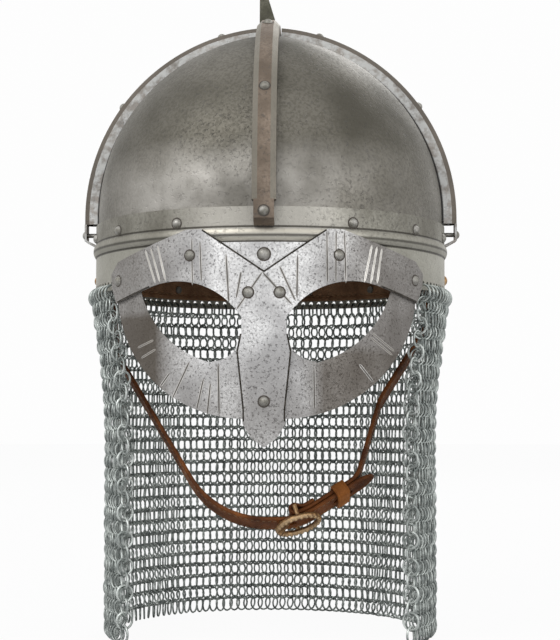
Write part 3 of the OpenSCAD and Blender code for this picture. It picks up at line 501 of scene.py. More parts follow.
# %% Material of a graved line
def graved_material(name, valley, lip):
    """Steel with a dark middle and bright edges, across the first UV direction."""
    material, tree, shader = steel(name, lip, (0.45, 0.44, 0.42), 60, 900, 0.2, 0.1, 0.3)
    from_middle = maths(tree, "ABSOLUTE", maths(tree, "SUBTRACT", split_axes(tree, "UV")[0], 0.5))
    recolour(tree, shader, remap(tree, from_middle, 0.30, 0.12), valley)
    return material


graved_dark = graved_material("graved_dark", (0.10, 0.09, 0.08), (0.74, 0.72, 0.69))
graved_bright = graved_material("graved_bright", (0.60, 0.57, 0.52), (0.92, 0.90, 0.86))
graved_worn = graved_material("graved_worn", (0.22, 0.20, 0.175), (0.50, 0.47, 0.42))
print("graved materials ready")

# %% The lines, as x and z of both ends in mm, seen from the front
BROW_FACE, CRESCENT_FACE, LINE_LIFT = 3.4, 1.7, 0.05
LINES_BROW_DARK = [
    (-0.8, 5.3, -14.7, -14.7), (-0.8, 5.3, 15.0, -12.1), (-39, 24.4, -38.6, -1.0),
    (-34.5, 22, -33.6, 0.5), (-20.3, 15.7, -18.7, -11.1), (-12.1, 5.7, -14.7, -8.5),
    (33.5, 28.3, 33.8, -0.7), (38.5, 28.4, 38.3, 0.0), (43, 28.0, 43.7, 0.2),
    (8.3, 8.5, 16.8, -10.1), (17.9, 14.7, 17.5, -8.5),
]
LINES_BROW_BRIGHT = [
    (-65.7, 19.6, -59.6, 0.7), (-62.5, 20.4, -56.9, 1.2), (-58.5, 21.6, -53.6, 1.6),
    (58, 21.5, 53.7, 0.8), (60.8, 20.8, 57.2, 0.2), (63.5, 20.0, 60.7, 0.4),
]
LINES_CRESCENT_DARK = [
    (-56.8, -55.3, -51.2, -47.8), (-49.9, -62, -40.2, -41.9), (-36.2, -67.9, -32.4, -50.9),
    (-30.4, -70.4, -28.6, -53.2), (-23.9, -71.1, -24.5, -42.8), (26.8, -67.9, 26.5, -44.3),
    (58.6, -52.9, 50.9, -43.2),
]
LINES_CRESCENT_BRIGHT = [
    (-70.4, -33.8, -60.7, -29.8), (-68.2, -39.5, -59.3, -34.8), (70.5, -35.9, 57.9, -26.3),
    (69.4, -38.1, 57.0, -28.5),
]


def strips(lines, out, half_at, steps, across):
    """Points, faces and UVs of one strip for each line, that far out from the oval."""
    points, faces, uvs = [], [], []
    for x0, z0, x1, z1 in lines:
        first = len(points)
        length = hypot(x1 - x0, z1 - z0)
        side_x, side_z = (z1 - z0) / length, -(x1 - x0) / length
        for i in range(steps + 1):
            t = i / steps
            for j in range(across):
                v = j / (across - 1)
                x = x0 + (x1 - x0) * t + side_x * half_at(t) * (2 * v - 1)
                z = z0 + (z1 - z0) * t + side_z * half_at(t) * (2 * v - 1)
                points.append((x * MM, front_y(x, out) * MM, z * MM))
                uvs.append((v, t))
        for i in range(steps):
            for j in range(across - 1):
                a = first + i * across + j
                faces.append((a, a + across, a + across + 1, a + 1))
    return points, faces, uvs


def graved_lines(name, lines, face, width, material):
    """One object with a pointed strip for each line, on the plate whose face is that far out."""
    def half_at(t):
        return width / 2 * min(1.0, sqrt(max(0.0, 1 - (2 * t - 1) ** 2)) * 1.6) + 0.04

    points, faces, uvs = strips(lines, face + LINE_LIFT, half_at, 14, 5)
    strip = make_object(name, points, faces, material)
    layer = strip.data.uv_layers.new(name="across")
    for loop in strip.data.loops:
        layer.data[loop.index].uv = uvs[loop.vertex_index]
    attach(strip, "helmet")
    return strip


graved = [
    graved_lines("graved_brow_dark", LINES_BROW_DARK, BROW_FACE, 1.3, graved_dark),
    graved_lines("graved_brow_bright", LINES_BROW_BRIGHT, BROW_FACE, 1.15, graved_bright),
    graved_lines("graved_cheek_dark", LINES_CRESCENT_DARK, CRESCENT_FACE, 1.4, graved_dark),
    graved_lines("graved_cheek_bright", LINES_CRESCENT_BRIGHT, CRESCENT_FACE, 1.15, graved_worn),
]
print("graved lines:", sum(len(s.data.polygons) for s in graved), "faces")

# %% [markdown]
# Where two plates of the mask overlap, the step between them throws a shadow along the edge,
# painted as a dark line. The same strips make it, one for each straight run of an edge.

# %% Painted shadow along the mask's overlaps
seam_shadow, *_ = steel("seam_shadow", (0.085, 0.075, 0.062), (0.03, 0.027, 0.022), 300, 1200, 0.3, 0.2)
SEAM_W, SEAM_LIFT = 0.9, 0.04
NOTCH = [(-33.4, 28.4, 0, 5.6), (0, 5.6, 33.4, 28.4)]
NASAL = [(12.3, -27.5, 14.2, -37), (14.2, -37, 10.9, -67.8), (10.9, -67.8, 10.9, -74)]
TEMPLE = [(63.2, -0.7, 83.4, -7.8)]
SEAMS = NOTCH + [(sign * x0, z0, sign * x1, z1) for edge in (NASAL, TEMPLE) for sign in (-1, 1)
                 for x0, z0, x1, z1 in edge]
points, faces, _ = strips(SEAMS, BROW_FACE + SEAM_LIFT, lambda t: SEAM_W / 2, 10, 2)
seam_strips = make_object("mask_seam_shadow", points, faces, seam_shadow)
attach(seam_strips, "helmet")
print("seams:", len(faces), "faces")

# %% [markdown]
# ## Painted shadow round the rivets
# A rivet head throws a thin shadow on the sheet round it, which gives each head its dark
# outline. A thin dark ring under each head paints that shadow over the steel's own colour.

# %% Rivet places
EAR_Z, EYE_ROW_Z, UPPER_ROW_Z, LINER_ROW_Z = 10, 15, 33, 11
RIB_H, RIB_STRIP_Z = 9, 37.7


def on_rim(length, out, z):
    """Point and outward direction on the rim, in mm."""
    x, y, a = rim(length, out)
    return (x, y, z), (cos(a), sin(a), 0)


def on_rib(reach, angle, turn):
    """Point and outward direction on top of a rib, whose half starts at that reach."""
    a, r = radians(angle), DOME_R + RIB_H + 0.1
    point = Vector((reach - PANEL_IN - DOME_R + r * cos(a), 0, DOME_Z + r * sin(a)))
    spin = Matrix.Rotation(radians(turn), 3, "Z")
    return spin @ point, spin @ Vector((cos(a), 0, sin(a)))


def on_rib_strip(reach, turn):
    """Point and outward direction on a rib's bent lower end."""
    spin = Matrix.Rotation(radians(turn), 3, "Z")
    return spin @ Vector((reach + RIB_H - PANEL_IN + 0.1, 0, RIB_STRIP_Z)), spin @ Vector((1, 0, 0))


def mirrored(spot):
    """The same place on the other side of the helmet."""
    (x, y, z), (u, v, w) = spot
    return (-x, y, z), (-u, v, w)


small, large = 2.7, 3.2


def at_x(x, z):
    """Place on the brow plate's face, by its x in the end arc and its z."""
    return on_rim(END_R * asin(x / END_R), BROW_FACE, z)


one_side = [on_rim(i * QUARTER / 3.5, 0, UPPER_ROW_Z) for i in range(1, 7)]
one_side += [on_rim(QUARTER + 50 + i * 50, 0, LINER_ROW_Z) for i in range(3)]
one_side += [at_x(38.8, EYE_ROW_Z), on_rim(END_LEN + 2.5, BROW_FACE, 4), at_x(8.1, -5.5)]
rivet_spots = [(spot, small) for spot in one_side] + [(mirrored(spot), small) for spot in one_side]
rivet_spots += [(on_rim(0, BROW_FACE, -63.4), small), (on_rim(0, CRESCENT_FACE, EYE_ROW_Z), large)]
CROSS, CREST = (HALF_W, (36, 73)), (HALF_L, (31, 68))
for turn, (reach, angles) in ((0, CROSS), (180, CROSS), (90, CREST), (-90, CREST)):
    rivet_spots += [(on_rib(reach, a, turn), small) for a in angles] + [(on_rib_strip(reach, turn), small)]
for ear in (1, -1):
    rivet_spots.append((((ear * HALF_W, 0, EAR_Z), (ear, 0, 0)), large))
print("rivet heads:", len(rivet_spots))

# %% Painted shadow rings
rivet_shade, tree, shader = new_material("rivet_shadow")
shader.inputs["Roughness"].default_value = 0.8
shader.inputs["Metallic"].default_value = 0.3
# The painted shadow is a dark brown, spotted a little
spots = noise(tree, coordinates(tree), 900, 2.0)
tree.links.new(blend_colour(tree, spots, (0.07, 0.06, 0.05), (0.15, 0.13, 0.11)), shader.inputs["Base Color"])

points, faces = [], []
TURNS, SHADOW_IN, SHADOW_OUT = 24, 0.3, 0.65
for (centre, out), head_r in rivet_spots:
    out = Vector(out)
    side = out.cross(Vector((0, 0, 1))).normalized()
    up = side.cross(out)
    first = len(points)
    for r, lift in ((head_r - SHADOW_IN, 0.09), (head_r + SHADOW_OUT, 0.06)):
        for i in range(TURNS):
            a = 2 * pi * i / TURNS
            points.append((Vector(centre) + out * lift + (side * cos(a) + up * sin(a)) * r) * MM)
    for i in range(TURNS):
        j = (i + 1) % TURNS
        faces.append((first + i, first + j, first + TURNS + j, first + TURNS + i))
shadow_rings = make_object("rivet_shadow_rings", points, faces, rivet_shade)
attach(shadow_rings, "helmet")
print("grime rings:", len(faces), "faces")

# %% [markdown]
# ## The mail
# Each ring of mail passes through two rings of the row above and two of the row below. Hung
# up, the rings of one row all lean one way and those of the next row lean the other way. The
# lean, the pitch along a row and the drop from row to row are tied together: with this wire
# the rings just clear each other at the values here. About 2300 rings are made as one shape
# copied to computed places, which costs one mesh for each part of the curtain.

# %% Wire finish
mail_steel, *_ = steel(
    "mail_steel", (0.64, 0.68, 0.65), (0.24, 0.265, 0.255), 210, 1400, 0.25, 0.15, 0.2, metallic=0.9)
edge_steel, *_ = steel(
    "edge_steel", (0.80, 0.84, 0.81), (0.36, 0.39, 0.375), 150, 1400, 0.25, 0.15, 0.2, metallic=0.9)
dress(mail_steel, "mail_hanger_rings")
dress(edge_steel, "mail_edge_rings_left", "mail_edge_rings_right")

# %% Places of the rings
FRONT_ANGLE, RING_PITCH = radians(29), 5.4
MAIL_START = END_LEN + (JOIN - FRONT_ANGLE) * SIDE_R
HANGERS = int((2 * QUARTER - MAIL_START) / RING_PITCH)
STEP = (2 * QUARTER - MAIL_START) / (HANGERS + 0.5)
RING_R, WIRE = 4.7, 1.2
ROWS, FIRST_ROW_Z, DROP = 26, -8.2, 7.45
LEAN = radians(32)
FLAP_LEN, BACK_LEN = 102.0, 72.0
CORNER_MID = (MAIL_START + FLAP_LEN + 2 * QUARTER - BACK_LEN / 2) / 2
CURTAIN_TOP, WAIST_DROP, WAIST_IN, SHEET_IN = -7.2, 80, 8, 0.75
# How unevenly the rings hang: outward and down in mm, and in tilt and nod in radians
SWAY_OUT, SWAY_DOWN, SWAY_TILT, SWAY_NOD = 0.12, 0.08, 0.045, 0.05


def curtain_out(z):
    """How far out the curtain hangs at this height: it draws in at its waist."""
    below = min(1.0, max(0.0, (CURTAIN_TOP - z) / WAIST_DROP))
    return -SHEET_IN - WAIST_IN * sin(pi / 2 * below)


random = np.random.default_rng(7)
groups = {name: [] for name in ("right_flap", "right_corner_front", "right_corner_rear", "back",
                                "left_corner_rear", "left_corner_front", "left_flap")}


def group_at(length):
    """The part of the curtain that a ring at this length belongs to."""
    side = "right" if length < 2 * QUARTER else "left"
    from_front = min(length, 4 * QUARTER - length)
    if from_front < MAIL_START + FLAP_LEN:
        return side + "_flap"
    if from_front < CORNER_MID:
        return side + "_corner_front"
    if from_front < 2 * QUARTER - BACK_LEN / 2:
        return side + "_corner_rear"
    return "back"


for row in range(ROWS):
    z = FIRST_ROW_Z - row * DROP
    shift = 0.5 if row % 2 == 0 else 1.0
    lean = LEAN if row % 2 == 0 else -LEAN
    for k in range(2 * HANGERS + (1 if row % 2 == 0 else 0)):
        length = MAIL_START + (k + shift) * STEP
        x, y, a = rim(length, curtain_out(z) + random.normal(0, SWAY_OUT))
        tilt = lean + random.normal(0, SWAY_TILT)
        along = np.array((-sin(a), cos(a), 0))
        outward = np.array((cos(a), sin(a), 0))
        flat = along * cos(tilt) + outward * sin(tilt)
        nod = random.normal(0, SWAY_NOD)
        up = np.array((0, 0, 1.0)) * cos(nod) + np.cross(flat, (0, 0, 1)) * sin(nod)
        spot = place(flat, up, np.cross(flat, up), (x, y, z + random.normal(0, SWAY_DOWN)))
        groups[group_at(length)].append(spot)
print("mail rings:", sum(len(g) for g in groups.values()))

# %% Rings of the curtain
ring_points, ring_faces = torus_parts(RING_R, WIRE, 16, 6)
mail = {name: copies("mail_" + name, ring_points, ring_faces, ring_spots, mail_steel)
        for name, ring_spots in groups.items()}


def rim_point(length, side):
    """A point below the rim, in metres, at this length from the front on the right or left."""
    x, y, _ = rim(length if side == "right" else 4 * QUARTER - length, 0)
    return (x * MM, y * MM, -0.1)


for side in ("right", "left"):
    front, middle, rear = [rim_point(length, side) for length in
                           (MAIL_START + FLAP_LEN, CORNER_MID, 2 * QUARTER - BACK_LEN / 2)]
    flap = f"mail_{side}_flap"
    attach(mail[side + "_flap"], flap)
    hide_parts(f"mail_{side}")
    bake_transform(mail[side + "_corner_front"])
    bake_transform(mail[side + "_corner_rear"])
    for part in ("_corner_front", "_corner_rear"):
        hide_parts(f"mail_corner_{side}")
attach(mail["back"], "mail_back_flap")
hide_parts("mail_back")
print("mail parts:", {name: len(piece.data.polygons) for name, piece in mail.items()})

# %% [markdown]
# ## Chin strap
# Two straps hang from the ears: the long one passes through the buckle and ends in a pointed
# tail, the short one folds round the buckle's bar. Both lie in one plane that leans forward,
# so a strap is a path in that plane, made of straight runs and arcs, with the strap's section
# carried along it. The section has rounded edges and two pressed grooves where the stitching
# lies. The holes are cut afterwards, as a leather worker would punch them.

# %% Paths in the strap's plane
STRAP_W, STRAP_T, STRAP_X, EAR_TO_CHIN = 16.0, 2.2, 95.7, 154.6
PLANE_TILT = radians(90 - 24)
LAP = STRAP_T + 0.3
BUCKLE_R, BUCKLE_HEADING, JAW_HEADING, CHEEK_HEADING = 34.0, 34.0, 59.5, 83.6
CHIN_R, JAW_R, UNDER_CHIN, TAIL_RUN = 50.0, 60.0, 7.0, 41.0
LAP_RUN, KNEE_R, KNEE_HEADING, CHEEK_RUN, HOLLOW_R = 26.0, 14.0, 74.0, 42.0, 25.0


def side_step(p, d):
    """A path point moved by d to its left, which is the neck's side."""
    h = radians(p[2])
    return (p[0] - d * sin(h), p[1] + d * cos(h), p[2])


def then_arc(path, radius, heading):
    """Adds an arc that ends at a heading. A negative radius turns right."""
    x, y, start = path[-1]
    count = max(2, ceil(abs(radians(heading - start) * radius) / 1.2))
    arc = []
    for i in range(1, count + 1):
        h = start + (heading - start) * i / count
        arc.append((x + radius * (sin(radians(h)) - sin(radians(start))),
                    y + radius * (cos(radians(start)) - cos(radians(h))), h))
    return path + arc


def then_straight(path, length):
    """Adds a straight run in steps of about 1.5 mm."""
    x, y, h = path[-1]
    count = max(1, ceil(length / 1.5))
    u, v = cos(radians(h)), sin(radians(h))
    return path + [(x + u * length * i / count, y + v * length * i / count, h) for i in range(1, count + 1)]


def up_to_ear(path):
    """A straight jaw, a bend and a straight cheek that end at the pivot by the ear."""
    bend = then_arc([(0, 0, JAW_HEADING)], JAW_R, CHEEK_HEADING)[-1]
    dx, dy = STRAP_X - path[-1][0] - bend[0], -path[-1][1] - bend[1]
    jaw_a, cheek_a = radians(JAW_HEADING), radians(CHEEK_HEADING)
    det = sin(cheek_a - jaw_a)
    jaw = (dx * sin(cheek_a) - dy * cos(cheek_a)) / det
    cheek = (dy * cos(jaw_a) - dx * sin(jaw_a)) / det
    return then_straight(then_arc(then_straight(path, jaw), JAW_R, CHEEK_HEADING), cheek)


chin = [(0.0, -EAR_TO_CHIN, 0.0)]
left_half = up_to_ear(then_arc(chin, CHIN_R, JAW_HEADING))
under_chin = then_straight(chin, UNDER_CHIN)
long_right = then_straight(then_arc(under_chin, BUCKLE_R, BUCKLE_HEADING), TAIL_RUN)
left_end = then_straight(left_half, STRAP_W / 2)
long_path = [(-x, y, -h) for x, y, h in reversed(left_end)] + long_right[1:]
buckle_mid = then_arc(under_chin, BUCKLE_R, BUCKLE_HEADING / 2)[-1]
short_bend = then_arc([side_step(buckle_mid, LAP)], BUCKLE_R - LAP, BUCKLE_HEADING)
short_knee = then_arc(then_straight(short_bend, LAP_RUN), KNEE_R, KNEE_HEADING)
short_up = up_to_ear(then_arc(then_straight(short_knee, CHEEK_RUN), -HOLLOW_R, JAW_HEADING))
short_up = then_straight(short_up, STRAP_W / 2)
print("strap paths:", len(long_path), "and", len(short_up), "points")

# %% The fold round the bar
BAR_D, BAR_GAP = 2.4, 0.08
BAR_OFF = (STRAP_T + BAR_D) / 2 + BAR_GAP
BAR_IN = LAP + BAR_OFF
FOLD_LEN, FOLD_CLOSE, FOLD_FLAT = 12.5, 6.5, STRAP_T + 0.05


def on_short_bend(s):
    """A point of the short strap, s along it from the bar."""
    x, y, start = short_bend[0]
    r = BUCKLE_R - LAP
    h = min(BUCKLE_HEADING, start + degrees(s / r))
    px = x + r * (sin(radians(h)) - sin(radians(start)))
    py = y + r * (cos(radians(start)) - cos(radians(h)))
    rest = s - radians(h - start) * r
    return (px + rest * cos(radians(h)), py + rest * sin(radians(h)), h)


def fold_lift(s):
    """How far the folded end stands off the strap, s along it from the bar."""
    if s > FOLD_CLOSE:
        return FOLD_FLAT
    return FOLD_FLAT + (2 * BAR_OFF - FOLD_FLAT) * (1 + cos(pi * s / FOLD_CLOSE)) / 2


fold = []
for i in range(16, -1, -1):
    s = FOLD_LEN * i / 16
    x, y, h = side_step(on_short_bend(s), fold_lift(s))
    fold.append((x, y, h + 180))
bar_at = side_step(buckle_mid, BAR_IN)
for i in range(1, 14):
    h = buckle_mid[2] + 180 + 180 * i / 14
    a = radians(h)
    fold.append((bar_at[0] + BAR_OFF * sin(a), bar_at[1] - BAR_OFF * cos(a), h))
short_path = fold + [(x, y, h + 360) for x, y, h in short_bend[:1] + short_up[1:]]
print("fold:", len(fold), "points")

# %% From the plane to the helmet
def to_helmet(x, y, across):
    """A point of the strap's plane, in metres in the helmet's frame."""
    c, s = cos(PLANE_TILT), sin(PLANE_TILT)
    return (x * MM, (y * c - across * s) * MM, (EAR_Z + y * s + across * c) * MM)


# Half of the section, from the middle of the outer face round the edge to the neck's side
HALF_SECTION = [(0.0, -1.0), (2.4, -1.02), (4.6, -1.06), (5.15, -1.08), (5.4, -0.82),
                (5.95, -0.82), (6.2, -1.08), (7.0, -1.1), (7.6, -0.95), (7.95, -0.5), (8.0, 0.0),
                (7.95, 0.6), (7.6, 1.02), (7.0, 1.1), (3.5, 1.1)]
SECTION = HALF_SECTION + [(0.0, 1.1)] + [(-a, b) for a, b in reversed(HALF_SECTION[1:])]
HALF, TAIL_POINT = STRAP_W / 2, 11.0


def run_lengths(path):
    """Length along a path at each of its points."""
    lengths = [0.0]
    for p, q in zip(path, path[1:]):
        lengths.append(lengths[-1] + hypot(q[0] - p[0], q[1] - p[1]))
    return lengths


def strap_mesh(name, path, material, start_half, end_half):
    """Sweeps the section along a path. start_half and end_half give the half width near each end,
    from the distance to that end."""
    lengths = run_lengths(path)
    points = []
    for p, run in zip(path, lengths):
        half = min(start_half(run), end_half(lengths[-1] - run))
        for across, deep in SECTION:
            thin = 1.0 if half > 1.0 else 0.75
            x, y, _ = side_step(p, deep * thin)
            points.append(to_helmet(x, y, across * half / HALF))
    return make_object(name, points, sweep_faces(len(path), len(SECTION)), material)


def square_end(_):
    """Half width near an end cut square: the same at any distance."""
    return HALF


def round_end(d):
    """Half width at the distance d from an end that is half a disc."""
    return HALF if d >= HALF else max(0.5, sqrt(max(0.0, HALF ** 2 - (HALF - d) ** 2)))


def pointed_end(d):
    """Half width at the distance d from the tip of the tail."""
    if d > TAIL_POINT:
        return HALF
    return max(0.6, HALF * sin(pi / 2 * min(1.0, (d + 0.4) / TAIL_POINT)) ** 0.8)


# %% Strap leather
def leather(name, light, dark, grain, bump=0.5):
    """Dull leather fed by the grain group."""
    material, *_ = finish_material(
        name, leather_group, {"Light": light, "Dark": dark, "Grain scale": grain}, bump,
        metallic=0.0, specular=0.22, bump_distance=0.0003)
    return material


strap_leather = leather("strap_leather", (0.32, 0.105, 0.022), (0.085, 0.026, 0.008), 1100)
keeper_leather = leather("keeper_leather", (0.54, 0.19, 0.032), (0.30, 0.10, 0.02), 900)
thread = leather("stitch_thread", (0.40, 0.26, 0.15), (0.22, 0.13, 0.07), 3000, bump=0.4)


def fine_ends(path, ends):
    """Adds points close to the ends, where the strap changes width."""
    out = []
    for i, (p, q) in enumerate(zip(path, path[1:])):
        out.append(p)
        if (ends[0] and i < 8) or (ends[1] and i > len(path) - 12):
            out.append(tuple((a + b) / 2 for a, b in zip(p, q)))
    return out + [path[-1]]


long_strap = strap_mesh(
    "chin_strap_long_leather", fine_ends(long_path, (1, 1)), strap_leather, round_end, pointed_end)
short_strap = strap_mesh(
    "chin_strap_short_leather", fine_ends(short_path, (0, 1)), strap_leather, square_end, round_end)
print("straps:", len(long_strap.data.polygons) + len(short_strap.data.polygons), "faces")

# %% [markdown]
# Holes are cut with boolean cutters: a slot for the prong, two spare holes in the tail, and the
# gap in the fold that lets the prong swing. The cutters are removed once their cut is applied.

# %% Holes
def strap_frame(p, deep=0.0):
    """Matrix of a place on the path: x along the strap, y to the neck, z across."""
    h = radians(p[2])
    c, s = cos(PLANE_TILT), sin(PLANE_TILT)
    along = Vector((cos(h), sin(h) * c, sin(h) * s))
    neck = Vector((-sin(h), cos(h) * c, cos(h) * s))
    across = Vector((0, -s, c))
    x, y, _ = side_step(p, deep)
    m = Matrix((along, neck, across)).transposed().to_4x4()
    m.translation = Vector(to_helmet(x, y, 0))
    return m


def prism(name, outline, low, high):
    """A cutter: an outline in x and z, from y low to y high, in mm."""
    n = len(outline)
    points = [(x * MM, y * MM, z * MM) for y in (low, high) for x, z in outline]
    faces = [tuple(range(n)), tuple(range(2 * n - 1, n - 1, -1))]
    faces += [(i, n + i, n + (i + 1) % n, (i + 1) % n) for i in range(n)]
    cutter = make_object(name, points, faces, smooth=False)
    tidy_mesh(cutter)
    return cutter


def stadium(length, width, count=10):
    """Outline of a slot with round ends."""
    outline = []
    for side in (1, -1):
        for i in range(count + 1):
            a = radians(-90 + 180 * i / count + (0 if side > 0 else 180))
            outline.append((side * (length - width) / 2 + width / 2 * cos(a), width / 2 * sin(a)))
    return outline


def cut(obj, cutters):
    """Cuts the cutters out of the object's mesh and removes them."""
    for cutter in cutters:
        modifier = obj.modifiers.new("cut", "BOOLEAN")
        modifier.operation = "DIFFERENCE"
        modifier.solver = "EXACT"
        modifier.object = cutter
    bpy.context.view_layer.update()
    evaluated = obj.evaluated_get(bpy.context.evaluated_depsgraph_get())
    mesh = bpy.data.meshes.new_from_object(evaluated)
    obj.modifiers.clear()
    old, obj.data = obj.data, mesh
    bpy.data.meshes.remove(old)
    for cutter in cutters:
        bpy.data.objects.remove(cutter)


for strap in (long_strap, short_strap):
    tidy_mesh(strap)
SLOT_AT, SLOT_L, SLOT_W = -5.06, 9.0, 4.0
HOLE_D, FIRST_HOLE, HOLE_PITCH = 3.39, 17, 9
cutters = [prism("slot_cutter", stadium(SLOT_L, SLOT_W), -6, 6)]
cutters[0].matrix_world = strap_frame(buckle_mid) @ Matrix.Translation((SLOT_AT * MM, 0, 0))
for i in range(2):
    hole = prism(f"hole_cutter_{i}", stadium(HOLE_D + 0.01, HOLE_D), -6, 6)
    back = -FIRST_HOLE - HOLE_PITCH * i
    hole.matrix_world = strap_frame(long_right[-1]) @ Matrix.Translation((back * MM, 0, 0))
    cutters.append(hole)
cut(long_strap, cutters)
fold_r, half_gap = BAR_OFF + STRAP_T / 2, 1.9
gap = prism("gap_cutter", [(-fold_r - 1, -half_gap), (fold_r, -half_gap), (fold_r, half_gap),
                           (-fold_r - 1, half_gap)], BAR_IN - fold_r - 1, BAR_IN + fold_r + 1)
gap.matrix_world = strap_frame(buckle_mid)
cut(short_strap, [gap])
print("after cutting:", len(long_strap.data.polygons), len(short_strap.data.polygons), "faces")

# %% Stitches
def stitch_shape(length, thick):
    """A small bent grain of thread along x, raised in the middle towards -y."""
    rows, around = 5, 6
    points = []
    for i in range(rows):
        t = i / (rows - 1)
        r = thick / 2 * (0.25 + 0.75 * sin(pi * t) ** 0.5)
        rise = 0.18 * sin(pi * t)
        for j in range(around):
            a = 2 * pi * j / around
            points.append((length * (t - 0.5), -rise + r * cos(a), r * sin(a)))
    return np.array(points), sweep_faces(rows, around)


def even_places(path, pitch, skip_start, skip_end):
    """Points every pitch mm along a path, except near its ends."""
    lengths = run_lengths(path)
    wanted = np.arange(skip_start, lengths[-1] - skip_end, pitch)
    return [tuple(np.interp(w, lengths, [p[k] for p in path]) for k in range(3)) for w in wanted]


def many(name, shape, matrices, material):
    """One object with a copy of a shape at each matrix, whose places are in metres."""
    points, faces = shape
    count = len(points)
    all_points, all_faces = [], []
    for n, m in enumerate(matrices):
        all_points += [m @ Vector(p * MM) for p in points]
        all_faces += [tuple(i + n * count for i in f) for f in faces]
    return make_object(name, all_points, all_faces, material)


STITCH_PITCH, STITCH_OFF, STITCH_OUT = 3.2, 5.68, -0.85
stitch = stitch_shape(2.3, 0.6)
sets = {"long": (long_path, 12, 16), "short": (short_path[len(fold):], 16, 12)}
seams = {}
for name, (path, skip_start, skip_end) in sets.items():
    matrices = []
    for p in even_places(path, STITCH_PITCH, skip_start, skip_end):
        for across in (-STITCH_OFF, STITCH_OFF):
            matrices.append(strap_frame(p, STITCH_OUT) @ Matrix.Translation((0, 0, across * MM)))
    seams[name] = many(f"chin_strap_{name}_stitches", stitch, matrices, thread)
print("stitches:", sum(len(s.data.polygons) for s in seams.values()) // len(stitch[1]))

# %% Straps on their body
for piece, node in ((long_strap, "chin_strap_long"), (short_strap, "chin_strap_short")):
    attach(piece, "chin_strap")
    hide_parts(node)
for piece in seams.values():
    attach(piece, "chin_strap")

# %% [markdown]
# ## Keeper
# The keeper is a loop of lighter leather round both straps. It is a flat band with rounded
# edges, carried round an oblong path, so its corners are soft.

# %% Keeper loop
KEEPER_T, KEEPER_AT = 1.8, 19.0
inner_h, inner_w = STRAP_T + LAP + 0.6, STRAP_W + 0.6
keeper_place = then_straight(short_bend[-1:], KEEPER_AT)[-1]
mid_h, mid_w, corner = inner_h / 2 + KEEPER_T / 2, inner_w / 2 + KEEPER_T / 2, 2.4
KEEPER_SECTION = [(-4.0, 0.0), (-3.9, 0.5), (-3.5, 0.85), (-2.9, 0.9), (-2.6, 0.74), (-2.3, 0.9),
                  (0, 0.94), (2.3, 0.9), (2.6, 0.74), (2.9, 0.9), (3.5, 0.85), (3.9, 0.5),
                  (4.0, 0.0), (3.9, -0.5), (3.4, -0.9), (0, -0.9), (-3.4, -0.9), (-3.9, -0.5)]
corners = []
for quarter_turn in range(4):
    cy = (mid_h - corner) * (1 if quarter_turn in (0, 3) else -1)
    cz = (mid_w - corner) * (1 if quarter_turn in (0, 1) else -1)
    for i in range(7):
        a = radians(90 - 90 * quarter_turn - 15 * i)
        corners.append((cy + corner * sin(a), cz + corner * cos(a), sin(a), cos(a)))
# Points along the straight sides, so that the loop can bulge a little over the straps
oblong = []
for (y0, z0, ny0, nz0), (y1, z1, *_) in zip(corners, corners[1:] + corners[:1]):
    oblong.append((y0, z0, ny0, nz0))
    span = hypot(y1 - y0, z1 - z0)
    if span > 1.5:
        for i in range(1, 6):
            t = i / 6
            bulge = 0.35 * sin(pi * t) if abs(z1 - z0) > abs(y1 - y0) else 0.0
            oblong.append((y0 + (y1 - y0) * t + bulge * ny0, z0 + (z1 - z0) * t, ny0, nz0))
frame_here = strap_frame(keeper_place, -LAP / 2)
points = []
for y, z, ny, nz in oblong:
    for along, lift in KEEPER_SECTION:
        points.append(frame_here @ Vector((along * MM, (y + ny * lift) * MM, (z + nz * lift) * MM)))
faces = sweep_faces(len(oblong), len(KEEPER_SECTION), closed=True)
keeper = make_object("keeper_loop", points, faces, keeper_leather)
tidy_mesh(keeper)
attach(keeper, "keeper")
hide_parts("strap_keeper")
print("keeper:", len(keeper.data.polygons), "faces")

# %% [markdown]
# ## Brass
# The buckle and the rivets at the ears are brass that has gone brown. A painted highlight
# lightens every part of it that faces forward and down, so its brightness follows the direction
# that the surface faces.

# %% Antique brass
brass, tree, shader = steel(
    "buckle_brass", (0.52, 0.31, 0.135), (0.19, 0.10, 0.045), 420, 1600, 0.35, 0.25, 0.3)
_, ny, nz = split_axes(tree, "Normal")
# Painted highlight on the brass surfaces that face forward and down
outward = maths(tree, "SUBTRACT", times(tree, ny, -0.9), times(tree, nz, 0.45))
facing_highlight = remap(tree, outward, 0.55, 0.95)
recolour(tree, shader, times(tree, facing_highlight, 0.6), (0.84, 0.64, 0.40))
dress(brass, "buckle_frame", "buckle_prong", "strap_pivot_rivets", "strap_fold_rivet")
print("brass on", len(brass.node_tree.nodes), "nodes")

# %% [markdown]
# ## Leather liner
# Inside, a stitched headband lies against the steel, and eight petals rise from it and are
# drawn together by a lace, so that the head hangs clear of the skull. The headband is one
# section carried round the oval. A petal is a grid on the liner's curved surface: for each
# line across the petal, the point is found at which the skull is the right depth away.

# %% Headband
HEADBAND_IN, LINER_T, HEADBAND_LOW = 4.5, 2.2, 5.0
liner_leather = leather("liner_leather", (0.34, 0.185, 0.095), (0.17, 0.085, 0.042), 700)
lace_leather = leather("lace_leather", (0.13, 0.07, 0.04), (0.06, 0.03, 0.02), 2000)

middle_in = HEADBAND_IN + LINER_T / 2
